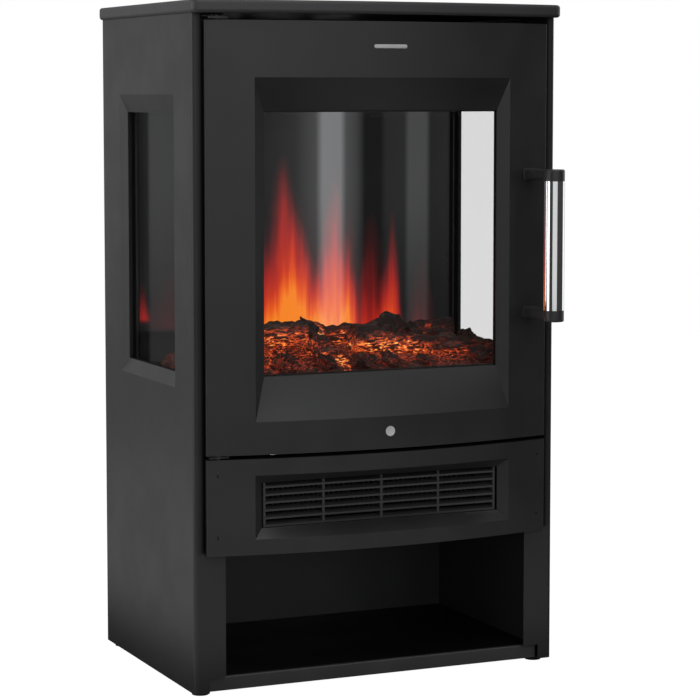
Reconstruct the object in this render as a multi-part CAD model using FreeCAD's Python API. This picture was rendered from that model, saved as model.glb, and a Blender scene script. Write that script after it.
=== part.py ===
import FreeCAD, Part
import math
import os

# Electric stove-type fireplace, in millimetres.
# Working frame: X to the right, Y to the back, Z up. X = 0 is the middle of the
# cabinet, Y = 0 is the front plane of the side panels and Z = 0 is the bottom edge
# of the side panels. Every piece is moved to the part's own origin, the middle of
# the bottom of its bounding box, when it is exported.

V = FreeCAD.Vector

# ---------------------------------------------------------------- driving sizes
CABINET_HALF_WIDTH = 179.0
CABINET_DEPTH = 242.0
CABINET_HEIGHT = 600.0
FOOT_HEIGHT = 3.5
SHEET = 1.5
THIN_SHEET = 1.2
GAP = 0.3

SLAB_HALF_WIDTH = 182.0
SLAB_THICKNESS = 11.5
SLAB_FRONT_AT_ENDS = -8.5
SLAB_BOW = 18.4
SLAB_CORNER_RADIUS = 9.0
SLAB_EDGE_RADIUS = 3.0

FRONT_HALF_WIDTH = 168.4
FRONT_AT_ENDS = -3.6
FRONT_BOW = 20.5
DOOR_BOTTOM = 212.8
DOOR_TOP = 594.0
DOOR_REAR = -0.8
FASCIA_BOTTOM = 123.6
FASCIA_TOP = 209.2

# outer and inner rectangles of the bevelled frames: half width, bottom, top
DOOR_BEVEL_OUTER = (125.5, 242.0, 544.5)
DOOR_BEVEL_INNER = (115.0, 281.0, 515.0)
DOOR_BEVEL_FLOOR = -7.0
GRILLE_BEVEL_OUTER = (126.0, 137.5, 194.5)
GRILLE_BEVEL_INNER = (117.5, 146.0, 186.5)
GRILLE_BEVEL_FLOOR = -6.0

# side windows: front, rear, bottom, top
WINDOW_OUTER = (46.6, 193.8, 269.0, 529.5)
WINDOW_INNER = (57.6, 183.0, 282.0, 513.0)
WINDOW_RECESS = 4.3

FLANGE_REACH = 29.5
INNER_FLANGE_REACH = 14.0
EDGE_RADIUS = 4.0

NICHE_FLOOR = 13.0
NICHE_CEILING = 124.0
NICHE_BACK = 208.0
CHEEK_X = 164.5
TRAY_LEVEL = 276.0
CEILING_LEVEL = 545.0
TRAY_HALF_WIDTH = 163.0
TRAY_FRONT = 12.0
TRAY_REAR = 236.0
RAIL_FRONT = 10.0
RAIL_HALF_WIDTH = 177.2
RAIL_LEG_INNER = 150.0

HINGE_X = -157.0
HINGE_Y = -3.0
HINGE_PIN_RADIUS = 1.5
RUNNING_FIT = 0.05

HANDLE_X = 149.0
HANDLE_Y = -54.0
HANDLE_RADIUS = 9.75
HANDLE_BOTTOM = 334.5
HANDLE_TOP = 451.5
HANDLE_CAP = 10.5

LOUVRE_FIRST = 147.8
LOUVRE_PITCH = 6.95
LOUVRE_COUNT = 6
GRILLE_BARS = (-114.5, -57.2, 0.0, 57.2, 114.5)

FAN_Y = 110.0
FAN_Z = 166.0
FAN_RADIUS = 27.0
FAN_HALF_LENGTH = 86.0
FAN_SHAFT_RADIUS = 3.0

ROTOR_Y = 212.0
ROTOR_Z = 302.0
ROTOR_SHAFT_RADIUS = 2.0
ROTOR_HALF_LENGTH = 150.0

BUTTON_Z = 244.0
BUTTON_PLACES = {"power_button": -30.0, "heat_button": 0.0, "flame_button": 30.0}
BUTTON_RADIUS = 5.0
PANEL_FRONT = 7.0

GLAND_X = -120.0
GLAND_Z = 240.0
GLAND_BORE_RADIUS = 3.6
GLAND_LENGTH = 16.0
BACK_PANEL_FRONT = 239.1
BACK_PANEL_REAR = 240.3
GLAND_REAR = BACK_PANEL_REAR + 6.0
ROCKER_X = 120.0
ROCKER_Z = 240.0

FRONT_MOST = HANDLE_Y - HANDLE_RADIUS
TO_ORIGIN = V(0, -(FRONT_MOST + GLAND_REAR) / 2, FOOT_HEIGHT)


# ---------------------------------------------------------------- shape helpers
def block(x0, x1, y0, y1, z0, z1):
    return Part.makeBox(x1 - x0, y1 - y0, z1 - z0, V(x0, y0, z0))


def rod(radius, start, end):
    direction = end.sub(start)
    return Part.makeCylinder(radius, direction.Length, start, direction)


def ring(outer_radius, inner_radius, start, end):
    return rod(outer_radius, start, end).cut(rod(inner_radius, start, end))


def join(shapes):
    body = shapes[0]
    for shape in shapes[1:]:
        body = body.fuse(shape)
    return body.removeSplitter()


def cut_all(body, tools):
    for tool in tools:
        body = body.cut(tool)
    return body


def mirrored(shape):
    return shape.mirror(V(0, 0, 0), V(1, 0, 0))


def both_sides(shape):
    """The left piece and its mirror image on the right, as two solids."""
    return Part.makeCompound([shape, mirrored(shape)])


def rectangle_frame(outer, inner, y0, y1):
    """A flat frame facing the front; outer and inner are (half width, bottom, top)."""
    body = block(-outer[0], outer[0], y0, y1, outer[1], outer[2])
    hole = block(-inner[0], inner[0], y0 - 1, y1 + 1, inner[1], inner[2])
    return body.cut(hole)


def side_frame(outer, inner, x0, x1):
    """A flat frame facing the left; outer and inner are (front, rear, bottom, top)."""
    body = block(x0, x1, outer[0], outer[1], outer[2], outer[3])
    hole = block(x0 - 1, x1 + 1, inner[0], inner[1], inner[2], inner[3])
    return body.cut(hole)


def grown(rect, margin):
    """A side rectangle (front, rear, bottom, top) made larger all round."""
    return (rect[0] - margin, rect[1] + margin, rect[2] - margin, rect[3] + margin)


def screw(head_radius, head_height, shank_radius, length, seat, direction):
    """A pan-head screw: the head stands on the seat, the shank runs along direction."""
    shank = rod(shank_radius, seat, seat.add(V(direction).multiply(length)))
    head = rod(head_radius, seat, seat.sub(V(direction).multiply(head_height)))
    slot = rod(shank_radius * 0.7, seat.sub(V(direction).multiply(head_height)),
               seat.sub(V(direction).multiply(head_height * 0.4)))
    return head.fuse(shank).cut(slot).removeSplitter()


def arc_edge(start, middle, end):
    return Part.Arc(start, middle, end).toShape()


def line_edge(start, end):
    return Part.makeLine(start, end)


def bow_y(x, half_width, y_ends, bow):
    """Y of the bowed face at x: a circular arc through both ends and the middle."""
    radius = (half_width ** 2 + bow ** 2) / (2 * bow)
    centre = y_ends - bow + radius
    return centre - math.sqrt(radius ** 2 - x ** 2)


def bowed_prism(half_width, y_ends, bow, y_rear, z0, z1):
    """An upright prism whose front is an arc and whose sides and rear are flat."""
    left_front = V(-half_width, y_ends, z0)
    right_front = V(half_width, y_ends, z0)
    left_rear = V(-half_width, y_rear, z0)
    right_rear = V(half_width, y_rear, z0)
    edges = [
        arc_edge(left_front, V(0, y_ends - bow, z0), right_front),
        line_edge(right_front, right_rear),
        line_edge(right_rear, left_rear),
        line_edge(left_rear, left_front),
    ]
    return Part.Face(Part.Wire(edges)).extrude(V(0, 0, z1 - z0))


def bevel_plug(outer, inner, floor_y, rear_y):
    """The space inside a bevelled frame: ruled sides from the flat inner rectangle
    to the outer rectangle on the bowed face, carried a little past that face."""
    reach = 1.25
    half_in, bottom_in, top_in = inner
    half_out = half_in + reach * (outer[0] - half_in)
    bottom_out = bottom_in + reach * (outer[1] - bottom_in)
    top_out = top_in + reach * (outer[2] - top_in)
    side_y = bow_y(outer[0], FRONT_HALF_WIDTH, FRONT_AT_ENDS, FRONT_BOW)
    middle_y = FRONT_AT_ENDS - FRONT_BOW
    side_out = floor_y + reach * (side_y - floor_y)
    middle_out = floor_y + reach * (middle_y - floor_y)

    def inner_point(side, z):
        return V(side * half_in, floor_y, z)

    def outer_point(side, z):
        return V(side * half_out, side_out, z)

    def outer_arc(z):
        return arc_edge(outer_point(-1, z), V(0, middle_out, z), outer_point(1, z))

    inner_top = line_edge(inner_point(-1, top_in), inner_point(1, top_in))
    inner_bottom = line_edge(inner_point(-1, bottom_in), inner_point(1, bottom_in))
    outer_top = outer_arc(top_out)
    outer_bottom = outer_arc(bottom_out)
    faces = [
        Part.makeRuledSurface(inner_top, outer_top),
        Part.makeRuledSurface(inner_bottom, outer_bottom),
        Part.makeRuledSurface(inner_bottom, inner_top),
        Part.makeRuledSurface(outer_bottom, outer_top),
    ]
    for side in (-1, 1):
        inner_side = line_edge(inner_point(side, bottom_in), inner_point(side, top_in))
        outer_side = line_edge(outer_point(side, bottom_out), outer_point(side, top_out))
        faces.append(Part.makeRuledSurface(inner_side, outer_side))
    shell = Part.makeShell(faces)
    shell.sewShape()
    plug = Part.makeSolid(shell)
    if plug.Volume < 0:
        plug.reverse()
    through = block(-half_in, half_in, floor_y, rear_y, bottom_in, top_in)
    return plug, through


def bowed_panel(bottom, top, rear_y, outer, inner, floor_y):
    """A pressed panel with a bowed front, returned edges and a bevelled opening."""
    body = bowed_prism(FRONT_HALF_WIDTH, FRONT_AT_ENDS, FRONT_BOW, rear_y, bottom, top)
    long_edges = [
        edge for edge in body.Edges
        if abs(edge.BoundBox.YMin - FRONT_AT_ENDS) < 0.01 and edge.BoundBox.ZLength > 10
    ]
    body = body.makeFillet(1.4, long_edges)
    hollow = bowed_prism(FRONT_HALF_WIDTH - SHEET, FRONT_AT_ENDS + SHEET + 0.1,
                         FRONT_BOW + 0.1, rear_y + 5, bottom + SHEET, top - SHEET)
    plug, through = bevel_plug(outer, inner, floor_y, rear_y + 5)
    backing = plug.copy()
    backing.translate(V(0, SHEET, 0))
    backing = backing.common(body)
    shell = body.cut(hollow).fuse(backing)
    return shell.cut(plug).cut(through).removeSplitter()


# ---------------------------------------------------------------- cabinet
def side_panel_left():
    reach = FLANGE_REACH
    x_out = -CABINET_HALF_WIDTH
    x_in = x_out + reach
    outer = block(x_out, x_in, 0, CABINET_DEPTH, 0, CABINET_HEIGHT)
    outer = rounded_front_edge(outer, x_out, 0, EDGE_RADIUS)
    inner = block(x_out + SHEET, x_in + 1, SHEET, CABINET_DEPTH - SHEET, SHEET, CABINET_HEIGHT - SHEET)
    inner = rounded_front_edge(inner, x_out + SHEET, SHEET, EDGE_RADIUS - SHEET)
    trim = block(x_out + INNER_FLANGE_REACH, x_in + 1, SHEET, CABINET_DEPTH + 1, -1, CABINET_HEIGHT + 1)
    board_notch = block(x_out + INNER_FLANGE_REACH, x_in + 1, -1, SHEET + 1, -1, NICHE_FLOOR + 0.5)
    panel = cut_all(outer, [inner, trim, board_notch])
    panel = panel.fuse(board_ledge())
    plug = window_plug(0)
    panel = panel.fuse(window_plug(SHEET).common(outer)).cut(plug)
    panel = panel.cut(block(x_out - 1, x_out + 12, WINDOW_INNER[0], WINDOW_INNER[1],
                            WINDOW_INNER[2], WINDOW_INNER[3]))
    for y, z in window_screw_places():
        boss = ring(3.5, 1.5, V(x_out + SHEET, y, z), V(-168.7, y, z))
        panel = panel.fuse(boss)
    return cut_all(panel.removeSplitter(), casing_screw_holes())


def board_ledge():
    """The bottom flange that the base board stands on, behind the front notch."""
    x_out = -CABINET_HALF_WIDTH
    return block(x_out + SHEET, x_out + FLANGE_REACH - 2.5, 8, CABINET_DEPTH - SHEET, 0, SHEET)


def rounded_front_edge(body, x, y, radius):
    edges = [
        edge for edge in body.Edges
        if abs(edge.BoundBox.XMin - x) < 0.01 and abs(edge.BoundBox.XMax - x) < 0.01
        and abs(edge.BoundBox.YMin - y) < 0.01 and edge.BoundBox.ZLength > 100
    ]
    return body.makeFillet(radius, edges)


def window_plug(offset):
    """The tapered recess of the left side window, moved inwards by offset."""
    x_out = -CABINET_HALF_WIDTH + offset
    scale = 1.2
    start = []
    end = []
    for inner, outer in zip(WINDOW_INNER, WINDOW_OUTER):
        start.append(inner + scale * (outer - inner))
        end.append(inner)
    x_start = x_out + WINDOW_RECESS * (1 - scale)
    x_end = x_out + WINDOW_RECESS
    return Part.makeLoft([side_wire(start, x_start), side_wire(end, x_end)], True, True)


def side_wire(rect, x):
    front, rear, bottom, top = rect
    corners = [(front, bottom), (rear, bottom), (rear, top), (front, top), (front, bottom)]
    points = [V(x, y, z) for y, z in corners]
    return Part.makePolygon(points)


def window_screw_places():
    return [(y, z) for y in (42.0, 198.5) for z in (290.0, 400.0, 510.0)]


def slab_screw_places():
    return [(x, y) for x in (-172.0, 172.0) for y in (30.0, 210.0)]


def fascia_screw_places():
    return [(x, z) for x in (-158.0, 158.0) for z in (140.0, 195.0)]


def casing_screw_holes():
    holes = []
    for x, y in slab_screw_places():
        holes.append(rod(1.7, V(x, y, CABINET_HEIGHT - 5), V(x, y, CABINET_HEIGHT + 8.2)))
    for x, z in fascia_screw_places():
        holes.append(rod(1.7, V(x, -6, z), V(x, 4, z)))
    for x, z in back_screw_places():
        holes.append(rod(1.7, V(x, 230, z), V(x, 246, z)))
    return holes


def back_screw_places():
    return [(x, z) for x in (-171.0, 171.0) for z in (30.0, 215.0, 400.0, 585.0)]


def left_side_panel():
    panel = side_panel_left()
    hinge_relief = block(-169.5, -140, -1, SHEET + 1, 210.0, CABINET_HEIGHT - SHEET)
    return panel.cut(hinge_relief)


def right_side_panel():
    return mirrored(side_panel_left())


def top_slab():
    z0 = CABINET_HEIGHT
    z1 = z0 + SLAB_THICKNESS
    slab = bowed_prism(SLAB_HALF_WIDTH, SLAB_FRONT_AT_ENDS, SLAB_BOW, CABINET_DEPTH, z0, z1)
    corners = [
        edge for edge in slab.Edges
        if edge.BoundBox.ZLength > 5 and edge.BoundBox.YMax < 0
    ]
    slab = slab.makeFillet(SLAB_CORNER_RADIUS, corners)
    rims = [
        edge for edge in slab.Edges
        if edge.BoundBox.ZLength < 0.01 and edge.BoundBox.YMin < CABINET_DEPTH - 1
    ]
    slab = slab.makeFillet(SLAB_EDGE_RADIUS, rims)
    return cut_all(slab, casing_screw_holes())


def back_panel():
    half = 176.5
    panel = block(-half, half, BACK_PANEL_FRONT, BACK_PANEL_REAR, 2.0, CABINET_HEIGHT - 2.0)
    slots = []
    for column in (-60.0, 0.0, 60.0):
        for row in range(7):
            z = 142.0 + 9.0 * row
            slots.append(block(column - 22, column + 22, 235, 245, z, z + 4))
            z = 520.0 + 9.0 * row
            slots.append(block(column - 22, column + 22, 235, 245, z, z + 4))
    gland_hole = rod(7.0, V(GLAND_X, 235, GLAND_Z), V(GLAND_X, 245, GLAND_Z))
    switch_hole = block(ROCKER_X - 10.6, ROCKER_X + 10.6, 235, 245, ROCKER_Z - 14.2, ROCKER_Z + 14.2)
    return cut_all(panel, slots + [gland_hole, switch_hole] + casing_screw_holes())


def base_board():
    board = block(-CHEEK_X, CHEEK_X, 5, 238.5, SHEET, NICHE_FLOOR)
    hollow = block(-CHEEK_X + SHEET, CHEEK_X - SHEET, 5 + SHEET, 238.5 - SHEET, 0, NICHE_FLOOR - SHEET)
    lip = block(-CHEEK_X, CHEEK_X, 5, 5 + SHEET, 0.3, NICHE_FLOOR)
    board = board.cut(hollow).fuse(lip).removeSplitter()
    rims = [
        edge for edge in board.Edges
        if abs(edge.BoundBox.YMax - 5) < 0.01 and abs(edge.BoundBox.ZMin - NICHE_FLOOR) < 0.01
    ]
    return board.makeFillet(1.2, rims)


def rubber_feet():
    feet = []
    for x in (-168.0, 168.0):
        for y in (16.0, 228.0):
            foot = Part.makeCone(8.5, 7.5, FOOT_HEIGHT, V(x, y, 0), V(0, 0, -1))
            feet.append(foot)
    return Part.makeCompound(feet)


def niche_liner():
    outer = block(-CHEEK_X, CHEEK_X, 2, NICHE_BACK, NICHE_FLOOR, NICHE_CEILING)
    inner = block(-CHEEK_X + THIN_SHEET, CHEEK_X - THIN_SHEET, 0, NICHE_BACK - THIN_SHEET,
                  NICHE_FLOOR - 1, NICHE_CEILING + 1)
    return outer.cut(inner)


def heater_shelf():
    plate = block(-CHEEK_X, CHEEK_X, 2, NICHE_BACK, NICHE_CEILING, NICHE_CEILING + THIN_SHEET)
    lip = block(-148, 148, 2, 2 + THIN_SHEET, NICHE_CEILING, NICHE_CEILING + 10)
    return plate.fuse(lip).removeSplitter()


def rail(z0, z1, shelf_z, window):
    """A cross rail between the side panels, with end tabs and a rear shelf."""
    y0 = RAIL_FRONT
    web = block(-RAIL_HALF_WIDTH, RAIL_HALF_WIDTH, y0, y0 + THIN_SHEET, z0, z1)
    shelf = block(-CHEEK_X, CHEEK_X, y0, y0 + 16, shelf_z, shelf_z + THIN_SHEET)
    body = web.fuse(shelf)
    for x in (-RAIL_HALF_WIDTH, RAIL_HALF_WIDTH - THIN_SHEET):
        body = body.fuse(block(x, x + THIN_SHEET, y0, y0 + 16, z0, z1))
    if window:
        body = body.cut(window)
    return body.removeSplitter()


def top_rail():
    """The upper cross rail, with a leg at each end that stands on the middle rail."""
    bottom = CEILING_LEVEL + THIN_SHEET + 18
    body = rail(bottom, 595.0, bottom, None)
    leg = block(-RAIL_HALF_WIDTH, -RAIL_LEG_INNER, RAIL_FRONT, RAIL_FRONT + THIN_SHEET,
                TRAY_LEVEL, bottom)
    return join([body, leg, mirrored(leg)])


def middle_rail():
    window = block(-58, 74, 5, 15, 228, 260)
    return rail(213.0, TRAY_LEVEL, TRAY_LEVEL - THIN_SHEET, window)


def lower_fascia():
    fascia = bowed_panel(FASCIA_BOTTOM, FASCIA_TOP, 0.0, GRILLE_BEVEL_OUTER,
                         GRILLE_BEVEL_INNER, GRILLE_BEVEL_FLOOR)
    for side in (-1, 1):
        lip_in = side * 150.0
        lip_out = side * (FRONT_HALF_WIDTH - 0.5)
        lip = block(min(lip_in, lip_out), max(lip_in, lip_out), -SHEET, 0,
                    FASCIA_BOTTOM + 0.5, FASCIA_TOP - 0.5)
        fascia = fascia.fuse(lip)
    return cut_all(fascia.removeSplitter(), casing_screw_holes())


def outlet_grille():
    y_flange = GRILLE_BEVEL_FLOOR + SHEET + GAP
    flange = rectangle_frame((124.0, 139.0, 193.0), (118.5, 145.5, 187.0), y_flange, y_flange + 1.5)
    body = flange
    for x in GRILLE_BARS:
        body = body.fuse(block(x - 1.1, x + 1.1, y_flange, y_flange + 7, 141.0, 191.0))
        body = body.fuse(block(x - 1.1, x + 1.1, y_flange - 1.0, y_flange + 1, 146.5, 186.0))
    for k in range(LOUVRE_COUNT):
        z = LOUVRE_FIRST + k * LOUVRE_PITCH
        blade = block(-115.0, 115.0, y_flange - 1.4, y_flange + 7.5, z - 0.9, z + 0.9)
        blade.rotate(V(0, y_flange, z), V(1, 0, 0), 14)
        body = body.fuse(blade)
    return body.removeSplitter()


def outlet_duct():
    outer = block(-122.0, 122.0, 7.5, 60.0, 139.0, 193.0)
    inner = block(-120.8, 120.8, 5.0, 62.0, 140.2, 191.8)
    return outer.cut(inner)


def heater_frame():
    return rectangle_frame((120.5, 140.5, 191.5), (108.0, 147.0, 185.0), 20.0, 38.0)


def heating_element():
    body = block(-107.7, 107.7, 22.0, 36.0, 148.0, 151.0)
    for z in (164.5, 181.0):
        body = body.fuse(block(-107.7, 107.7, 22.0, 36.0, z, z + 3))
    for k in range(43):
        x = -105.0 + 5.0 * k
        body = body.fuse(block(x - 0.4, x + 0.4, 23.0, 35.0, 148.0, 184.0))
    return body.removeSplitter()


def thermal_cutout():
    can = rod(6.5, V(60, 50, 193.3), V(60, 50, 199))
    flange = block(48, 72, 46, 54, 193.1, 194.1)
    tabs = block(55, 57, 48, 52, 199, 205).fuse(block(63, 65, 48, 52, 199, 205))
    return join([can, flange, tabs])


def polar(radius, degrees):
    angle = math.radians(degrees)
    return FAN_Y + radius * math.cos(angle), FAN_Z + radius * math.sin(angle)


def scroll_wall(x0, x1):
    """The rear and lower wall of the fan casing: a ring from below to behind."""
    def point(radius, degrees):
        y, z = polar(radius, degrees)
        return V(x0, y, z)
    inner = 31.0
    outer = inner + THIN_SHEET
    edges = [
        arc_edge(point(inner, -90), point(inner, -30), point(inner, 30)),
        line_edge(point(inner, 30), point(outer, 30)),
        arc_edge(point(outer, 30), point(outer, -30), point(outer, -90)),
        line_edge(point(outer, -90), point(inner, -90)),
    ]
    return Part.Face(Part.Wire(edges)).extrude(V(x1 - x0, 0, 0))


def fan_casing():
    x1 = FAN_HALF_LENGTH + 6
    x0 = -x1
    floor = block(x0, x1, 60.2, FAN_Y, FAN_Z - 31 - THIN_SHEET, FAN_Z - 31)
    tongue = block(x0, x1, 60.2, 86.0, 193.2 - THIN_SHEET, 193.2)
    mouth = block(x0, x1, 60.2, 61.4, 134.0, 138.9)
    body = join([scroll_wall(x0, x1), floor, tongue, mouth])
    for x in (x0 - THIN_SHEET, x1):
        plate = block(x, x + THIN_SHEET, 60.2, 146.0, 126.0, 204.0)
        body = body.fuse(plate)
    left_hole = rod(7.05, V(x0 - 3, FAN_Y, FAN_Z), V(x0 + 1, FAN_Y, FAN_Z))
    right_hole = rod(8.1, V(x1 - 1, FAN_Y, FAN_Z), V(x1 + 3, FAN_Y, FAN_Z))
    return body.cut(left_hole).cut(right_hole).removeSplitter()


def fan_wheel():
    half = FAN_HALF_LENGTH
    body = rod(FAN_SHAFT_RADIUS, V(-half - 11, FAN_Y, FAN_Z), V(half + 40, FAN_Y, FAN_Z))
    for x in (-half, -1.0, half - 2.0):
        body = body.fuse(rod(FAN_RADIUS, V(x, FAN_Y, FAN_Z), V(x + 2.0, FAN_Y, FAN_Z)))
    blade_count = 22
    for k in range(blade_count):
        blade = block(-half, half, FAN_Y + 20.0, FAN_Y + 26.5, FAN_Z - 0.5, FAN_Z + 0.5)
        blade.rotate(V(0, FAN_Y + 23, FAN_Z), V(1, 0, 0), 35)
        blade.rotate(V(0, FAN_Y, FAN_Z), V(1, 0, 0), k * 360.0 / blade_count)
        body = body.fuse(blade)
    return body.removeSplitter()


def fan_bearing():
    x0 = -FAN_HALF_LENGTH - 9
    bush = ring(7.0, FAN_SHAFT_RADIUS + RUNNING_FIT, V(x0, FAN_Y, FAN_Z), V(x0 + 6, FAN_Y, FAN_Z))
    collar = ring(9.0, FAN_SHAFT_RADIUS + RUNNING_FIT, V(x0, FAN_Y, FAN_Z), V(x0 + 1.6, FAN_Y, FAN_Z))
    return bush.fuse(collar).removeSplitter()


def fan_motor():
    x0 = FAN_HALF_LENGTH + 7.4
    body = rod(20.0, V(x0 + 3, FAN_Y, FAN_Z), V(x0 + 42, FAN_Y, FAN_Z))
    boss = rod(8.0, V(x0 - 2, FAN_Y, FAN_Z), V(x0 + 3, FAN_Y, FAN_Z))
    flange = block(x0, x0 + 3, FAN_Y - 26, FAN_Y + 26, FAN_Z - 12, FAN_Z + 12)
    bore = rod(FAN_SHAFT_RADIUS + RUNNING_FIT, V(x0 - 3, FAN_Y, FAN_Z), V(x0 + 34, FAN_Y, FAN_Z))
    body = join([body, boss, flange])
    return body.cut(bore)


# ---------------------------------------------------------------- controls
def control_panel():
    plate = block(-66, 82, PANEL_FRONT, RAIL_FRONT - GAP, 222, 266)
    edges = [edge for edge in plate.Edges if edge.BoundBox.YLength > 1 and edge.BoundBox.ZLength < 0.01]
    plate = plate.makeFillet(4.0, edges)
    for x in BUTTON_PLACES.values():
        plate = plate.cut(rod(BUTTON_RADIUS + 0.3, V(x, 0, BUTTON_Z), V(x, 20, BUTTON_Z)))
    return plate.cut(block(57.7, 70.3, 0, 20, 238.7, 249.3))


def receiver_window():
    lens = block(58, 70, PANEL_FRONT + 0.2, RAIL_FRONT + 2, 239, 249)
    flange = block(56, 72, RAIL_FRONT - GAP + 0.1, RAIL_FRONT + 2, 237, 251)
    return lens.fuse(flange).removeSplitter()


def push_button(x):
    cap = rod(BUTTON_RADIUS, V(x, PANEL_FRONT - 3, BUTTON_Z), V(x, RAIL_FRONT + 1, BUTTON_Z))
    front = [edge for edge in cap.Edges if edge.BoundBox.YMax < PANEL_FRONT - 2]
    cap = cap.makeFillet(0.8, front)
    flange = rod(BUTTON_RADIUS + 1.4, V(x, RAIL_FRONT, BUTTON_Z), V(x, RAIL_FRONT + 1.2, BUTTON_Z))
    stem = rod(1.6, V(x, RAIL_FRONT + 1, BUTTON_Z), V(x, RAIL_FRONT + 4, BUTTON_Z))
    return join([cap, flange, stem])


def control_board():
    board_front = RAIL_FRONT + 9.5
    body = block(-64, 80, board_front, board_front + 1.6, 226, 262)
    for x in BUTTON_PLACES.values():
        body = body.fuse(block(x - 3, x + 3, board_front - 3.6, board_front, BUTTON_Z - 3, BUTTON_Z + 3))
    body = body.fuse(block(59, 69, board_front - 5, board_front, 240, 248))
    for x in (-55.0, -10.0, 35.0):
        body = body.fuse(block(x, x + 14, board_front + 1.6, board_front + 5, 246, 258))
    return body.removeSplitter()


def power_board():
    body = block(-70, 70, 70, 150, 222.0, 223.6)
    for x in (-60.0, -38.0, -16.0):
        body = body.fuse(block(x, x + 16, 78, 98, 223.6, 239))
    body = body.fuse(block(12, 52, 80, 112, 223.6, 248))
    body = body.fuse(rod(8.0, V(-40, 130, 223.6), V(-40, 130, 245)))
    body = body.fuse(rod(5.0, V(-12, 130, 223.6), V(-12, 130, 240)))
    for x in (-64.0, 64.0):
        for y in (76.0, 144.0):
            body = body.fuse(rod(2.5, V(x, y, 215.0), V(x, y, 222.0)))
    return body.removeSplitter()


def heater_bay_cover():
    """The plate over the heater bay that carries the power board."""
    plate = block(-CHEEK_X, CHEEK_X, 62.0, NICHE_BACK, 213.8, 213.8 + THIN_SHEET)
    lip = block(-CHEEK_X, CHEEK_X, NICHE_BACK - THIN_SHEET, NICHE_BACK, 126.0, 213.8)
    vents = [block(x, x + 44, 200, 215, z, z + 4) for x in (-82, -22, 38) for z in range(140, 204, 9)]
    return cut_all(plate.fuse(lip).removeSplitter(), vents)


def cable_gland():
    outer_start = V(GLAND_X, GLAND_REAR, GLAND_Z)
    inner_end = V(GLAND_X, GLAND_REAR - GLAND_LENGTH, GLAND_Z)
    barrel = rod(6.9, inner_end, outer_start)
    front_flange = rod(10.0, V(GLAND_X, BACK_PANEL_REAR, GLAND_Z),
                       V(GLAND_X, BACK_PANEL_REAR + 2.5, GLAND_Z))
    nut = rod(10.0, V(GLAND_X, BACK_PANEL_FRONT - 4, GLAND_Z), V(GLAND_X, BACK_PANEL_FRONT, GLAND_Z))
    body = join([barrel, front_flange, nut])
    return body.cut(rod(GLAND_BORE_RADIUS, inner_end, outer_start))


def switch_housing():
    body = block(ROCKER_X - 10.4, ROCKER_X + 10.4, 218, BACK_PANEL_REAR + 0.1, ROCKER_Z - 14, ROCKER_Z + 14)
    rim = block(ROCKER_X - 12.5, ROCKER_X + 12.5, BACK_PANEL_REAR, BACK_PANEL_REAR + 1.6,
                ROCKER_Z - 16, ROCKER_Z + 16)
    body = body.fuse(rim)
    pocket = block(ROCKER_X - 8.5, ROCKER_X + 8.5, 228, 250, ROCKER_Z - 12.5, ROCKER_Z + 12.5)
    pivot = rod(1.5, V(ROCKER_X - 9, 237, ROCKER_Z), V(ROCKER_X + 9, 237, ROCKER_Z))
    tabs = [block(ROCKER_X - 1, ROCKER_X + 1, 212, 218, ROCKER_Z + dz, ROCKER_Z + dz + 5) for dz in (-9, 4)]
    body = body.cut(pocket).fuse(pivot)
    return join([body] + tabs)


def rocker_switch():
    """The rocker paddle, resting in its off position, tipped on its pivot."""
    half = 12.0
    points = [
        V(ROCKER_X - 8.2, 233.5, ROCKER_Z - 5),
        V(ROCKER_X - 8.2, 239.5, ROCKER_Z - half),
        V(ROCKER_X - 8.2, 242.2, ROCKER_Z - half + 0.4),
        V(ROCKER_X - 8.2, 240.8, ROCKER_Z),
        V(ROCKER_X - 8.2, 242.2, ROCKER_Z + half - 0.4),
        V(ROCKER_X - 8.2, 239.5, ROCKER_Z + half),
        V(ROCKER_X - 8.2, 233.5, ROCKER_Z + 5),
    ]
    profile = Part.makePolygon(points + points[:1])
    body = Part.Face(profile).extrude(V(16.4, 0, 0))
    body.rotate(V(ROCKER_X, 237, ROCKER_Z), V(1, 0, 0), -6)
    return body.cut(rod(1.5 + RUNNING_FIT, V(ROCKER_X - 10, 237, ROCKER_Z), V(ROCKER_X + 10, 237, ROCKER_Z)))


# ---------------------------------------------------------------- firebox
def firebox_tray():
    return block(-TRAY_HALF_WIDTH, TRAY_HALF_WIDTH, TRAY_FRONT, TRAY_REAR,
                 TRAY_LEVEL, TRAY_LEVEL + THIN_SHEET)


def firebox_ceiling():
    plate = block(-TRAY_HALF_WIDTH, TRAY_HALF_WIDTH, TRAY_FRONT, 190,
                  CEILING_LEVEL, CEILING_LEVEL + THIN_SHEET)
    lip = block(-TRAY_HALF_WIDTH, TRAY_HALF_WIDTH, TRAY_FRONT, TRAY_FRONT + THIN_SHEET,
                CEILING_LEVEL, CEILING_LEVEL + 19)
    return plate.fuse(lip).removeSplitter()


def flame_screen():
    """A curved translucent screen, nearest the front in its middle."""
    bottom = TRAY_LEVEL + THIN_SHEET
    top = CEILING_LEVEL
    front = bowed_prism(TRAY_HALF_WIDTH, 186.0, 38.0, 200.0, bottom, top)
    rear = bowed_prism(TRAY_HALF_WIDTH + 2, 189.0, 38.0, 210.0, bottom - 1, top + 1)
    return front.cut(rear)


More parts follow.
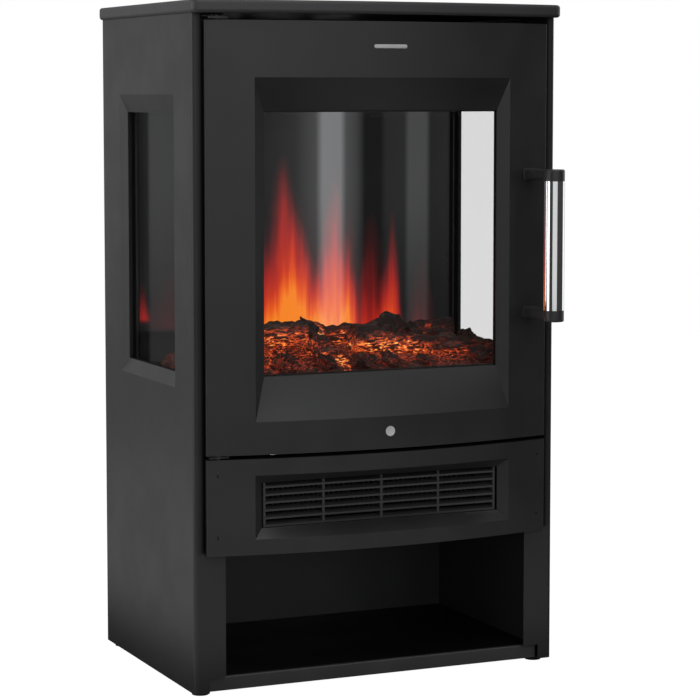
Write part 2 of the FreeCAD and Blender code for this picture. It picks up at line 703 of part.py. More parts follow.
def ember_bed():
    """The moulded ember bed: a low crowned shell, open below, over its lamp board."""
    bottom = TRAY_LEVEL + THIN_SHEET
    outline = [V(-156, 20, bottom), V(156, 20, bottom), V(156, 150, bottom), V(60, 142, bottom),
               V(-60, 142, bottom), V(-156, 150, bottom), V(-156, 20, bottom)]
    top_outline = [V(-148, 38, bottom + 20), V(148, 38, bottom + 20), V(148, 138, bottom + 20),
                   V(60, 132, bottom + 20), V(-60, 132, bottom + 20), V(-148, 138, bottom + 20),
                   V(-148, 38, bottom + 20)]
    body = Part.makeLoft([Part.makePolygon(outline), Part.makePolygon(top_outline)], True, True)
    hollow = block(-138, 138, 48, 126, bottom - 1, bottom + 12)
    return body.cut(hollow)


def ember_led_board():
    bottom = TRAY_LEVEL + THIN_SHEET
    body = block(-130, 130, 56, 118, bottom + 1.5, bottom + 3.1)
    for x in (-100.0, -60.0, -20.0, 20.0, 60.0, 100.0):
        for y in (70.0, 100.0):
            body = body.fuse(rod(2.5, V(x, y, bottom + 3.1), V(x, y, bottom + 7)))
    for x in (-120.0, 120.0):
        body = body.fuse(rod(3.0, V(x, 87, bottom), V(x, 87, bottom + 1.5)))
    return body.removeSplitter()


def log(start, end, radius_start, radius_end):
    direction = end.sub(start)
    return Part.makeCone(radius_start, radius_end, direction.Length, start, direction)


def logs():
    """The moulded logs, from the back to the front, each resting on the ones before."""
    pieces = {
        "back_log": log(V(-62, 118, 304), V(126, 106, 303), 12.2, 11.6),
        "left_log": log(V(-150, 66, 307), V(-46, 62, 312), 11.0, 12.5),
        "right_log": log(V(2, 62, 305), V(150, 52, 288), 14.0, 9.5),
        "front_log": log(V(-40, 98, 310), V(-37, 30, 290), 12.5, 12.0),
    }
    bed = ember_bed()
    placed = []
    for name in pieces:
        piece = cut_all(pieces[name], [bed] + placed)
        solids = sorted(piece.Solids, key=lambda solid: solid.Volume)
        pieces[name] = solids[-1]
        placed.append(solids[-1])
    return pieces


def flame_led_strip():
    body = block(-145, 145, 231.0, 232.6, 292, 312)
    for k in range(12):
        x = -132.0 + 24.0 * k
        body = body.fuse(block(x - 2.5, x + 2.5, 229.2, 231.0, 299.5, 304.5))
    for x in (-140.0, 140.0):
        foot = block(x - 4, x + 4, 232.6, 235.0, TRAY_LEVEL + THIN_SHEET, 312)
        body = body.fuse(foot)
    return body.removeSplitter()


def rotor_brackets():
    plates = []
    bore_radius = ROTOR_SHAFT_RADIUS + RUNNING_FIT
    for x in (-ROTOR_HALF_LENGTH + 2, ROTOR_HALF_LENGTH - 3.5):
        plate = block(x, x + SHEET, 202, 222, TRAY_LEVEL + THIN_SHEET, ROTOR_Z + 8)
        foot = block(x - 5, x + 4, 202, 222, TRAY_LEVEL + THIN_SHEET, TRAY_LEVEL + 2 * THIN_SHEET)
        hole = rod(bore_radius, V(x - 5, ROTOR_Y, ROTOR_Z), V(x + 7, ROTOR_Y, ROTOR_Z))
        plates.append(plate.fuse(foot).cut(hole).removeSplitter())
    return Part.makeCompound(plates)


def flame_rotor():
    shaft = rod(ROTOR_SHAFT_RADIUS, V(-ROTOR_HALF_LENGTH, ROTOR_Y, ROTOR_Z),
                V(ROTOR_HALF_LENGTH + 8, ROTOR_Y, ROTOR_Z))
    body = shaft
    for k in range(24):
        x = -138.0 + 12.0 * k
        flag = block(x - 4, x + 4, ROTOR_Y + 1.0, ROTOR_Y + 13.0, ROTOR_Z - 0.4, ROTOR_Z + 0.4)
        flag.rotate(V(x, ROTOR_Y, ROTOR_Z), V(0, 1, 0), 20)
        flag.rotate(V(x, ROTOR_Y, ROTOR_Z), V(1, 0, 0), 105.0 * k)
        body = body.fuse(flag)
    return body.removeSplitter()


def rotor_motor():
    x0 = ROTOR_HALF_LENGTH + 1
    body = rod(11.0, V(x0, ROTOR_Y, ROTOR_Z), V(x0 + 12, ROTOR_Y, ROTOR_Z))
    foot = block(x0, x0 + 11, 204, 220, TRAY_LEVEL + THIN_SHEET, ROTOR_Z - 6)
    bore = rod(ROTOR_SHAFT_RADIUS + RUNNING_FIT, V(x0 - 1, ROTOR_Y, ROTOR_Z), V(x0 + 8, ROTOR_Y, ROTOR_Z))
    return body.fuse(foot).cut(bore).removeSplitter()


# ---------------------------------------------------------------- side windows
def left_window_glass():
    outer = grown(WINDOW_INNER, 8)
    return block(-171.4, -167.4, outer[0], outer[1], outer[2], outer[3])


def left_window_seal():
    return side_frame(grown(WINDOW_INNER, 7), WINDOW_INNER, -173.0, -171.5)


def left_window_retainer():
    outer = (37.5, 203.0, 264.0, 531.0)
    plate = side_frame(outer, grown(WINDOW_INNER, 1), -167.3, -165.8)
    corners = [
        block(-169.0, -165.8, outer[0], 47.0, outer[2], outer[3]),
        block(-169.0, -165.8, 193.5, outer[1], outer[2], outer[3]),
    ]
    frame = join([plate] + corners)
    for y, z in window_screw_places():
        frame = frame.cut(rod(3.8, V(-175, y, z), V(-168.4, y, z)))
        frame = frame.cut(rod(1.7, V(-175, y, z), V(-160, y, z)))
    return frame


def window_screws():
    screws = []
    for y, z in window_screw_places():
        one = screw(3.2, 1.6, 1.4, 8.5, V(-165.8, y, z), V(-1, 0, 0))
        screws.append(one)
        screws.append(mirrored(one))
    return screws


# ---------------------------------------------------------------- casing screws
def back_panel_screws():
    rear = CABINET_DEPTH
    return [screw(3.2, 1.6, 1.5, 8.0, V(x, rear, z), V(0, -1, 0)) for x, z in back_screw_places()]


def casing_screws():
    screws = []
    for x, y in slab_screw_places():
        screws.append(screw(3.4, 2.0, 1.5, 9.0, V(x, y, CABINET_HEIGHT - SHEET), V(0, 0, 1)))
    for x, z in fascia_screw_places():
        screws.append(screw(3.4, 2.0, 1.5, 5.0, V(x, SHEET, z), V(0, -1, 0)))
    return screws


# ---------------------------------------------------------------- hinge and catch
def hinge_plate(z0, z1, leg_bottom, leg_top):
    plate = block(-166.0, -148.0, -6.0, RAIL_FRONT + THIN_SHEET + 1.7, z0, z1)
    leg_front = RAIL_FRONT + THIN_SHEET + 0.2
    leg = block(-166.0, -148.0, leg_front, leg_front + SHEET, leg_bottom, leg_top)
    hole = rod(HINGE_PIN_RADIUS, V(HINGE_X, HINGE_Y, z0 - 1), V(HINGE_X, HINGE_Y, z1 + 1))
    return plate.fuse(leg).cut(hole).removeSplitter()


def upper_hinge_bracket():
    return hinge_plate(595.3, 597.1, 570.0, 596.0)


def lower_hinge_bracket():
    return hinge_plate(210.5, 212.0, 211.0, 240.0)


def hinge_pins():
    upper = rod(HINGE_PIN_RADIUS, V(HINGE_X, HINGE_Y, 589.0), V(HINGE_X, HINGE_Y, 598.0))
    upper = upper.fuse(rod(2.6, V(HINGE_X, HINGE_Y, 597.1), V(HINGE_X, HINGE_Y, 598.4)))
    lower = rod(HINGE_PIN_RADIUS, V(HINGE_X, HINGE_Y, 209.8), V(HINGE_X, HINGE_Y, 218.0))
    lower = lower.fuse(rod(2.6, V(HINGE_X, HINGE_Y, 209.4), V(HINGE_X, HINGE_Y, 210.5)))
    washer = ring(2.9, HINGE_PIN_RADIUS + 0.05, V(HINGE_X, HINGE_Y, 212.05), V(HINGE_X, HINGE_Y, 212.7))
    return Part.makeCompound([upper.removeSplitter(), lower.removeSplitter(), washer])


def catch_magnet():
    body = block(150.0, 158.0, -3.0, 0.0, 382, 418)
    return body.fuse(block(150.5, 157.5, -3.0, -2.0, 378, 422)).removeSplitter()


# ---------------------------------------------------------------- door
def retainer_screw_places():
    return [(x, z) for x in (-134.0, 134.0) for z in (262.0, 330.0, 398.0, 466.0, 534.0)]


def handle_screw_places():
    return [HANDLE_BOTTOM - HANDLE_CAP / 2, HANDLE_TOP + HANDLE_CAP / 2]


def door_frame():
    frame = bowed_panel(DOOR_BOTTOM, DOOR_TOP, DOOR_REAR, DOOR_BEVEL_OUTER,
                        DOOR_BEVEL_INNER, DOOR_BEVEL_FLOOR)
    envelope = bowed_prism(FRONT_HALF_WIDTH, FRONT_AT_ENDS, FRONT_BOW, DOOR_REAR, DOOR_BOTTOM, DOOR_TOP)
    for x, z in retainer_screw_places():
        boss = rod(3.2, V(x, -16, z), V(x, -0.5, z)).common(envelope)
        frame = frame.fuse(boss).cut(rod(1.35, V(x, -8.5, z), V(x, 2, z)))
    for z in handle_screw_places():
        frame = frame.cut(rod(2.2, V(HANDLE_X, -20, z), V(HANDLE_X, 2, z)))
    pin_hole = HINGE_PIN_RADIUS + RUNNING_FIT
    for z in (DOOR_BOTTOM, DOOR_TOP):
        frame = frame.cut(rod(pin_hole, V(HINGE_X, HINGE_Y, z - 6), V(HINGE_X, HINGE_Y, z + 6)))
    return frame.removeSplitter()


def door_seal():
    return rectangle_frame((122.5, 274.0, 522.0), (115.5, 281.0, 515.0), -5.4, -4.4)


def door_glass():
    return block(-123.0, 123.0, -4.3, -0.5, 273.5, 522.5)


def glass_retainer():
    plate = rectangle_frame((139.5, 257.0, 539.5), (116.0, 282.0, 514.0), -0.4, 0.8)
    for x, z in retainer_screw_places():
        plate = plate.cut(rod(1.5, V(x, -2, z), V(x, 2, z)))
    return plate


def handle_bar():
    return ring(HANDLE_RADIUS, HANDLE_RADIUS - 1.5, V(HANDLE_X, HANDLE_Y, HANDLE_BOTTOM),
                V(HANDLE_X, HANDLE_Y, HANDLE_TOP))


def handle_bracket(z_bar, z_far):
    """An end cap with a spigot in the bar and a flat arm back to the door face."""
    z0 = min(z_bar, z_far)
    z1 = max(z_bar, z_far)
    inward = 1 if z_bar > z_far else -1
    cap = rod(HANDLE_RADIUS, V(HANDLE_X, HANDLE_Y, z0), V(HANDLE_X, HANDLE_Y, z1))
    rims = [edge for edge in cap.Edges if abs(edge.BoundBox.ZMin - z_far) < 0.01 and edge.Length > 20]
    cap = cap.makeFillet(1.5, [edge for edge in rims if edge.BoundBox.ZLength < 0.01])
    spigot = rod(HANDLE_RADIUS - 1.6, V(HANDLE_X, HANDLE_Y, z_bar),
                 V(HANDLE_X, HANDLE_Y, z_bar + inward * 9))
    arm = block(HANDLE_X - 6.5, HANDLE_X + 6.5, HANDLE_Y, -4.0, z0 + 0.5, z1 - 0.5)
    edges = [edge for edge in arm.Edges if edge.BoundBox.YLength > 30]
    arm = arm.makeFillet(2.0, edges)
    foot = rod(9.0, V(HANDLE_X, -11.5, (z0 + z1) / 2), V(HANDLE_X, -4.0, (z0 + z1) / 2))
    foot = foot.common(block(0, 200, -20, 0, z0, z1))
    envelope = bowed_prism(FRONT_HALF_WIDTH, FRONT_AT_ENDS, FRONT_BOW, 5, DOOR_BOTTOM, DOOR_TOP)
    body = join([cap, spigot, arm, foot]).cut(envelope)
    screw_hole = rod(1.9, V(HANDLE_X, -30, (z0 + z1) / 2), V(HANDLE_X, 0, (z0 + z1) / 2))
    return body.cut(screw_hole)


def door_screws():
    screws = []
    for z in handle_screw_places():
        seat_y = bow_y(HANDLE_X + 3.4, FRONT_HALF_WIDTH, FRONT_AT_ENDS, FRONT_BOW) + SHEET + 0.4
        screws.append(screw(3.4, 2.0, 1.85, 17.0, V(HANDLE_X, seat_y, z), V(0, -1, 0)))
    for x, z in retainer_screw_places():
        screws.append(screw(2.8, 1.5, 1.3, 7.5, V(x, 0.8, z), V(0, -1, 0)))
    return Part.makeCompound(screws)


def strike_plate():
    plate = block(148.0, 157.0, -4.4, -3.4, 376, 424)
    envelope = bowed_prism(FRONT_HALF_WIDTH - SHEET, FRONT_AT_ENDS + SHEET + 0.1, FRONT_BOW + 0.1,
                           0, DOOR_BOTTOM + SHEET, DOOR_TOP - SHEET)
    posts = [block(149.5, 153.5, -8.5, -4.4, z, z + 5) for z in (377, 418)]
    body = plate
    for post in posts:
        body = body.fuse(post.common(envelope))
    return body.removeSplitter()


# ---------------------------------------------------------------- export
PIECES = {
    "left_side_panel": left_side_panel(),
    "right_side_panel": right_side_panel(),
    "top_slab": top_slab(),
    "back_panel": back_panel(),
    "base_board": base_board(),
    "rubber_feet": rubber_feet(),
    "niche_liner": niche_liner(),
    "heater_shelf": heater_shelf(),
    "heater_bay_cover": heater_bay_cover(),
    "top_rail": top_rail(),
    "middle_rail": middle_rail(),
    "lower_fascia": lower_fascia(),
    "outlet_grille": outlet_grille(),
    "outlet_duct": outlet_duct(),
    "heater_frame": heater_frame(),
    "heating_element": heating_element(),
    "thermal_cutout": thermal_cutout(),
    "fan_casing": fan_casing(),
    "fan_bearing": fan_bearing(),
    "fan_motor": fan_motor(),
    "fan_wheel": fan_wheel(),
    "control_panel": control_panel(),
    "receiver_window": receiver_window(),
    "control_board": control_board(),
    "power_board": power_board(),
    "cable_gland": cable_gland(),
    "switch_housing": switch_housing(),
    "rocker_switch": rocker_switch(),
    "firebox_tray": firebox_tray(),
    "firebox_ceiling": firebox_ceiling(),
    "flame_screen": flame_screen(),
    "ember_bed": ember_bed(),
    "ember_led_board": ember_led_board(),
    "flame_led_strip": flame_led_strip(),
    "rotor_brackets": rotor_brackets(),
    "rotor_motor": rotor_motor(),
    "flame_rotor": flame_rotor(),
    "left_window_glass": left_window_glass(),
    "right_window_glass": mirrored(left_window_glass()),
    "window_seals": both_sides(left_window_seal()),
    "window_retainers": both_sides(left_window_retainer()),
    "cabinet_screws": Part.makeCompound(window_screws() + back_panel_screws() + casing_screws()),
    "hinge_brackets": Part.makeCompound([upper_hinge_bracket(), lower_hinge_bracket()]),
    "hinge_pins": hinge_pins(),
    "catch_magnet": catch_magnet(),
    "door_frame": door_frame(),
    "door_seal": door_seal(),
    "door_glass": door_glass(),
    "glass_retainer": glass_retainer(),
    "handle_bar": handle_bar(),
    "handle_brackets": Part.makeCompound([
        handle_bracket(HANDLE_TOP, HANDLE_TOP + HANDLE_CAP),
        handle_bracket(HANDLE_BOTTOM, HANDLE_BOTTOM - HANDLE_CAP),
    ]),
    "door_screws": door_screws(),
    "strike_plate": strike_plate(),
}
PIECES.update(logs())
for button_name, button_x in BUTTON_PLACES.items():
    PIECES[button_name] = push_button(button_x)

os.makedirs("parts", exist_ok=True)
for node, shape in PIECES.items():
    shape.translate(TO_ORIGIN)
    shape.exportStep("parts/" + node + ".step")
    print(node, len(shape.Solids), round(shape.Volume), shape.isValid())
print("pieces", len(PIECES), "shift", TO_ORIGIN)
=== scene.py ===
import math

import bmesh
import bpy
from mathutils import Euler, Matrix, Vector


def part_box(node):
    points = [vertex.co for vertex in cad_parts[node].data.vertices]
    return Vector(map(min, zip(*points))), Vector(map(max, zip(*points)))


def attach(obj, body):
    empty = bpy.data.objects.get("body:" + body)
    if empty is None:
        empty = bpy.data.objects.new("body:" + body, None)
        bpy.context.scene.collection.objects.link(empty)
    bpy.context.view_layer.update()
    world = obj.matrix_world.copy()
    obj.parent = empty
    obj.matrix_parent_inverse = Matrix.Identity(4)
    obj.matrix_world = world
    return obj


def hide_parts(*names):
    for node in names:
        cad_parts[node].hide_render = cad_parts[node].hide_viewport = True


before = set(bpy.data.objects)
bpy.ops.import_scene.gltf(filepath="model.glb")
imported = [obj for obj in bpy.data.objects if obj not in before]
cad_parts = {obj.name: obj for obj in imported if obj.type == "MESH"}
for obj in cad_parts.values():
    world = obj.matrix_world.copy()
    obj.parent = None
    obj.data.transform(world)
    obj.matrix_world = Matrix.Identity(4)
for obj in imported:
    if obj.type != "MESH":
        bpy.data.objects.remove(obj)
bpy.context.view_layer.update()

bl_info = {
    "name": "Electric fireplace looks",
    "version": (1, 0, 0),
    "blender": (4, 5, 0),
    "location": "View3D > Sidebar > Fireplace",
    "description": "Finishes, fuel, flame picture and studio of a stove-type electric fireplace",
    "category": "Object",
}

BED_LOW, BED_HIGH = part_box("ember_bed")
SCREEN_LOW, SCREEN_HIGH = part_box("flame_screen")
DOOR_LOW, DOOR_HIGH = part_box("door_frame")
PANEL_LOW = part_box("left_side_panel")[0]
FASCIA_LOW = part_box("lower_fascia")[0]
BOARD_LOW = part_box("base_board")[0]

# Flames on the screen, in metres: middle across, foot above the screen's lower edge,
# height, half width at the foot, lean of the tip and heat.
FLAMES = {
    "tall left flame": (-0.025, 0.022, 0.176, 0.040, -0.006, 1.00),
    "left flame core": (-0.030, 0.018, 0.070, 0.036, 0.000, 0.22),
    "middle flame": (0.020, 0.022, 0.162, 0.028, 0.003, 0.80),
    "thin middle tongue": (0.038, 0.022, 0.125, 0.010, 0.001, 0.42),
    "red glow": (0.060, 0.020, 0.120, 0.032, 0.002, 0.42),
    "right flame": (0.086, 0.022, 0.120, 0.018, 0.003, 0.74),
    "edge flame": (-0.060, 0.022, 0.125, 0.022, 0.003, 0.48),
    "low haze": (0.008, 0.016, 0.095, 0.090, 0.000, 0.30),
    "haze between": (-0.002, 0.022, 0.140, 0.026, 0.000, 0.12),
    "left glow": (-0.092, 0.022, 0.100, 0.024, 0.003, 0.22),
    "far left flame": (-0.136, 0.033, 0.060, 0.024, 0.004, 0.15),
    "far left spot": (-0.160, 0.040, 0.036, 0.006, 0.000, 0.40),
    "far right glow": (0.124, 0.022, 0.080, 0.020, 0.000, 0.20),
}

# Painted reflections of the softboxes on the glossy screen, as soft vertical stripes: place across
# in metres, then grey.
SCREEN_REFLECTION_BANDS = (
    (-0.160, 0.000), (-0.156, 0.000), (-0.1535, 0.038), (-0.115, 0.036), (-0.090, 0.014),
    (-0.050, 0.015), (-0.020, 0.026), (0.002, 0.062), (0.009, 0.195), (0.028, 0.190),
    (0.034, 0.070), (0.046, 0.045), (0.055, 0.008), (0.073, 0.008), (0.080, 0.020),
    (0.102, 0.022), (0.108, 0.062), (0.130, 0.060), (0.136, 0.016), (0.160, 0.014),
)

# Glowing places in the fuel, in metres: middle across, height above the tray,
# half width, half height and heat.
HOT_PLACES = {
    "left log face": (-0.095, 0.030, 0.066, 0.015, 0.84),
    "left lower seam": (-0.085, 0.013, 0.056, 0.012, 1.00),
    "gap between the logs": (-0.018, 0.022, 0.010, 0.028, 3.40),
    "right log face": (0.032, 0.019, 0.050, 0.017, 0.95),
    "right seam": (0.088, 0.009, 0.040, 0.008, 0.70),
    "right end embers": (0.092, 0.034, 0.026, 0.010, 0.40),
    "middle log end": (-0.048, 0.014, 0.022, 0.018, 0.24),
    "all over": (0.0, 0.010, 0.220, 0.050, 0.26),
}

# Finishes of the inner and small parts: colour, metal share, roughness, size of the
# grain in metres, its depth in metres and how far the pattern is drawn out in X, Y and Z.
PLAIN_FINISHES = {
    "zinc_steel": ((0.50, 0.51, 0.52), 1.0, 0.34, 0.0040, 0.00004, (1, 1, 1)),
    "black_plastic": ((0.030, 0.030, 0.031), 0.0, 0.38, 0.0006, 0.00005, (1, 1, 1)),
    "black_rubber": ((0.010, 0.010, 0.010), 0.0, 0.72, 0.0010, 0.00008, (1, 1, 1)),
    "heater_fins": ((0.16, 0.16, 0.165), 1.0, 0.46, 0.0020, 0.00003, (1, 1, 6)),
    "motor_case": ((0.45, 0.45, 0.46), 1.0, 0.38, 0.0015, 0.00003, (8, 1, 1)),
    "fan_plastic": ((0.48, 0.48, 0.49), 1.0, 0.42, 0.0015, 0.00003, (8, 1, 1)),
    "mirror_foil": ((0.86, 0.86, 0.86), 1.0, 0.12, 0.0050, 0.00010, (1, 1, 1)),
    "magnet_black": ((0.030, 0.030, 0.030), 0.0, 0.50, 0.0008, 0.00005, (1, 1, 1)),
    "receiver_lens": ((0.030, 0.004, 0.006), 0.0, 0.08, 0.0100, 0.00001, (1, 1, 1)),
    "button_grey": ((0.055, 0.055, 0.058), 0.0, 0.42, 0.0005, 0.00005, (1, 1, 1)),
}

# Charcoal lumps: place across, depth behind the bed's front edge, height above the tray,
# width, all in metres, and the turn in degrees that shows another side of the lump.
LUMPS = {
    "charcoal_front_middle": (0.000, 0.012, 0.010, 0.034, 10),
    "charcoal_front_right": (0.028, 0.012, 0.009, 0.030, 75),
    "charcoal_front_centre": (-0.038, 0.012, 0.010, 0.034, 110),
    "charcoal_front_left": (-0.077, 0.010, 0.008, 0.032, 140),
    "charcoal_left_corner": (-0.118, 0.012, 0.007, 0.028, 200),
    "charcoal_far_right": (0.060, 0.012, 0.007, 0.022, 260),
    "charcoal_right_end": (0.120, 0.016, 0.010, 0.026, 320),
    "charcoal_right_corner": (0.144, 0.022, 0.012, 0.022, 35),
    "charcoal_between": (0.008, 0.036, 0.028, 0.020, 110),
    "charcoal_on_back_log": (0.049, 0.056, 0.034, 0.038, 170),
    "charcoal_back_left": (0.030, 0.054, 0.029, 0.028, 20),
    "charcoal_back_peak": (0.070, 0.054, 0.029, 0.030, 235),
    "charcoal_back_slope": (0.098, 0.050, 0.026, 0.032, 290),
    "charcoal_right_slope": (0.124, 0.044, 0.020, 0.030, 130),
    "charcoal_left_top": (-0.040, 0.046, 0.037, 0.036, 60),
    "charcoal_left_back": (-0.100, 0.054, 0.033, 0.034, 15),
}

# Planes that break the pattern lump, which is a metre wide: outward direction and distance
# from its middle.
LUMP_BREAKS = (
    ((0.8, 0.3, 0.5), 0.30), ((-0.6, 0.5, 0.6), 0.26), ((0.1, -0.9, 0.4), 0.27),
    ((-0.4, -0.4, -0.8), 0.30), ((0.5, -0.6, -0.5), 0.31), ((-0.9, -0.3, 0.2), 0.33),
    ((0.2, 0.3, 0.95), 0.24),
)

# The plain marks on the door, in metres: how far they stand out, the bar's middle below
# the door's top edge and the disc's middle above its bottom edge.
MARK_STANDOUT = 0.0004
BAR_DROP = 0.022
DISC_RISE = 0.0158

# Softboxes round the object: direction in degrees from the front towards the right,
# angle that the box fills, distance, lower and upper edge in metres and radiance.
SOFTBOXES = {
    "front_softbox": (-2.5, 67.0, 3.0, 0.48, 3.2, 1.14),
    "front_low_softbox": (-13.0, 48.0, 3.0, 0.05, 0.44, 0.64),
    "left_softbox": (-97.0, 52.0, 2.5, 0.05, 2.6, 1.80),
    "right_softbox": (102.0, 41.0, 2.5, 0.05, 2.6, 1.00),
    "back_left_softbox": (-155.0, 34.0, 2.8, 0.05, 2.8, 0.45),
    "back_right_softbox": (160.0, 40.0, 2.8, 0.05, 2.8, 0.50),
}

# The softbox overhead: side in metres, place and radiance.
TOP_SIDE = 2.4
TOP_PLACE = (0.3, -1.1, 3.3)
TOP_RADIANCE = 1.5

# Lamps flat on the floor, as pale cards that light the lower parts: middle in X and Y,
# size in X and Y in metres and radiance.
BOUNCE_CARDS = {
    "front_card": (0.0, -0.36, 0.8, 0.36, 0.45),
    "left_card": (-0.80, 0.45, 1.1, 1.7, 0.45),
    "back_left_card": (-0.90, 2.10, 1.4, 1.5, 0.10),
}

# The camera: place in metres, tilt downwards and turn to the right in degrees, and
# vertical lens shift.
CAMERA_PLACE = (-0.9198, -2.0780, 0.5347)
CAMERA_TILT = 4.893
CAMERA_TURN = 24.153
CAMERA_SHIFT = -0.07


class CasingSettings(bpy.types.PropertyGroup):
    """Colours and texture of the painted casing."""
    coat_colour: bpy.props.FloatVectorProperty(
        name="Coat colour", description="Colour of the powder coat on the steel",
        subtype="COLOR", size=3, min=0.0, max=1.0, default=(0.0205, 0.0207, 0.0209))
    coat_roughness: bpy.props.FloatProperty(
        name="Coat roughness", description="How matt the powder coat is",
        subtype="FACTOR", min=0.0, max=1.0, default=0.42)
    coat_grain: bpy.props.FloatProperty(
        name="Grain size", description="Size of the powder coat's fine grain",
        subtype="DISTANCE", unit="LENGTH", min=0.0001, max=0.01, default=0.0007)
    coat_relief: bpy.props.FloatProperty(
        name="Grain depth", description="Depth of the powder coat's fine grain",
        subtype="DISTANCE", unit="LENGTH", min=0.0, max=0.001, default=0.00003)
    slab_colour: bpy.props.FloatVectorProperty(
        name="Top colour", description="Colour of the lacquered top",
        subtype="COLOR", size=3, min=0.0, max=1.0, default=(0.043, 0.043, 0.044))


class GlassSettings(bpy.types.PropertyGroup):
    """Tint of the three panes."""
    pane_colour: bpy.props.FloatVectorProperty(
        name="Glass tint", description="Colour of the glass where light is held back",
        subtype="COLOR", size=3, min=0.0, max=1.0, default=(0.020, 0.021, 0.022))
    pane_density: bpy.props.FloatProperty(
        name="Glass density", description="Share of the light that the pane holds back",
        subtype="FACTOR", min=0.0, max=1.0, default=0.09)


class FireSettings(bpy.types.PropertyGroup):
    """Strength of the lights in the fire and the relief of the fuel."""
    flame_strength: bpy.props.FloatProperty(
        name="Flame strength", description="Brightness of the flame picture",
        min=0.0, max=10.0, default=1.15)
    ember_strength: bpy.props.FloatProperty(
        name="Ember strength", description="Brightness of the glowing fuel",
        min=0.0, max=10.0, default=1.5)
    coal_relief: bpy.props.FloatProperty(
        name="Coal relief", description="Depth between the coals of the bed",
        subtype="DISTANCE", unit="LENGTH", min=0.0, max=0.02, default=0.008)
    bark_relief: bpy.props.FloatProperty(
        name="Bark relief", description="Depth of the grooves in the burnt bark",
        subtype="DISTANCE", unit="LENGTH", min=0.0, max=0.01, default=0.0042)


class TrimSettings(bpy.types.PropertyGroup):
    """Colour of the chrome and sizes of the plain marks on the door."""
    chrome_colour: bpy.props.FloatVectorProperty(
        name="Chrome colour", description="Colour of the polished handle bar",
        subtype="COLOR", size=3, min=0.0, max=1.0, default=(0.90, 0.91, 0.92))
    badge_width: bpy.props.FloatProperty(
        name="Badge width", description="Width of the plain bar at the top of the door",
        subtype="DISTANCE", unit="LENGTH", min=0.005, max=0.08, default=0.032)
    badge_height: bpy.props.FloatProperty(
        name="Badge height", description="Height of the plain bar at the top of the door",
        subtype="DISTANCE", unit="LENGTH", min=0.001, max=0.02, default=0.0034)
    dot_width: bpy.props.FloatProperty(
        name="Dot width", description="Width of the plain disc under the glass",
        subtype="DISTANCE", unit="LENGTH", min=0.002, max=0.02, default=0.009)


class StageSettings(bpy.types.PropertyGroup):
    """Camera and studio."""
    focal_length: bpy.props.FloatProperty(
        name="Focal length", description="Focal length of the camera",
        subtype="DISTANCE_CAMERA", unit="CAMERA", min=10.0, max=400.0, default=125.21)
    floor_colour: bpy.props.FloatVectorProperty(
        name="Floor colour", description="Colour of the pale floor",
        subtype="COLOR", size=3, min=0.0, max=1.0, default=(0.02, 0.02, 0.02))
    lamp_level: bpy.props.FloatProperty(
        name="Lamp level", description="Overall level of the softboxes",
        min=0.0, max=10.0, default=1.0)


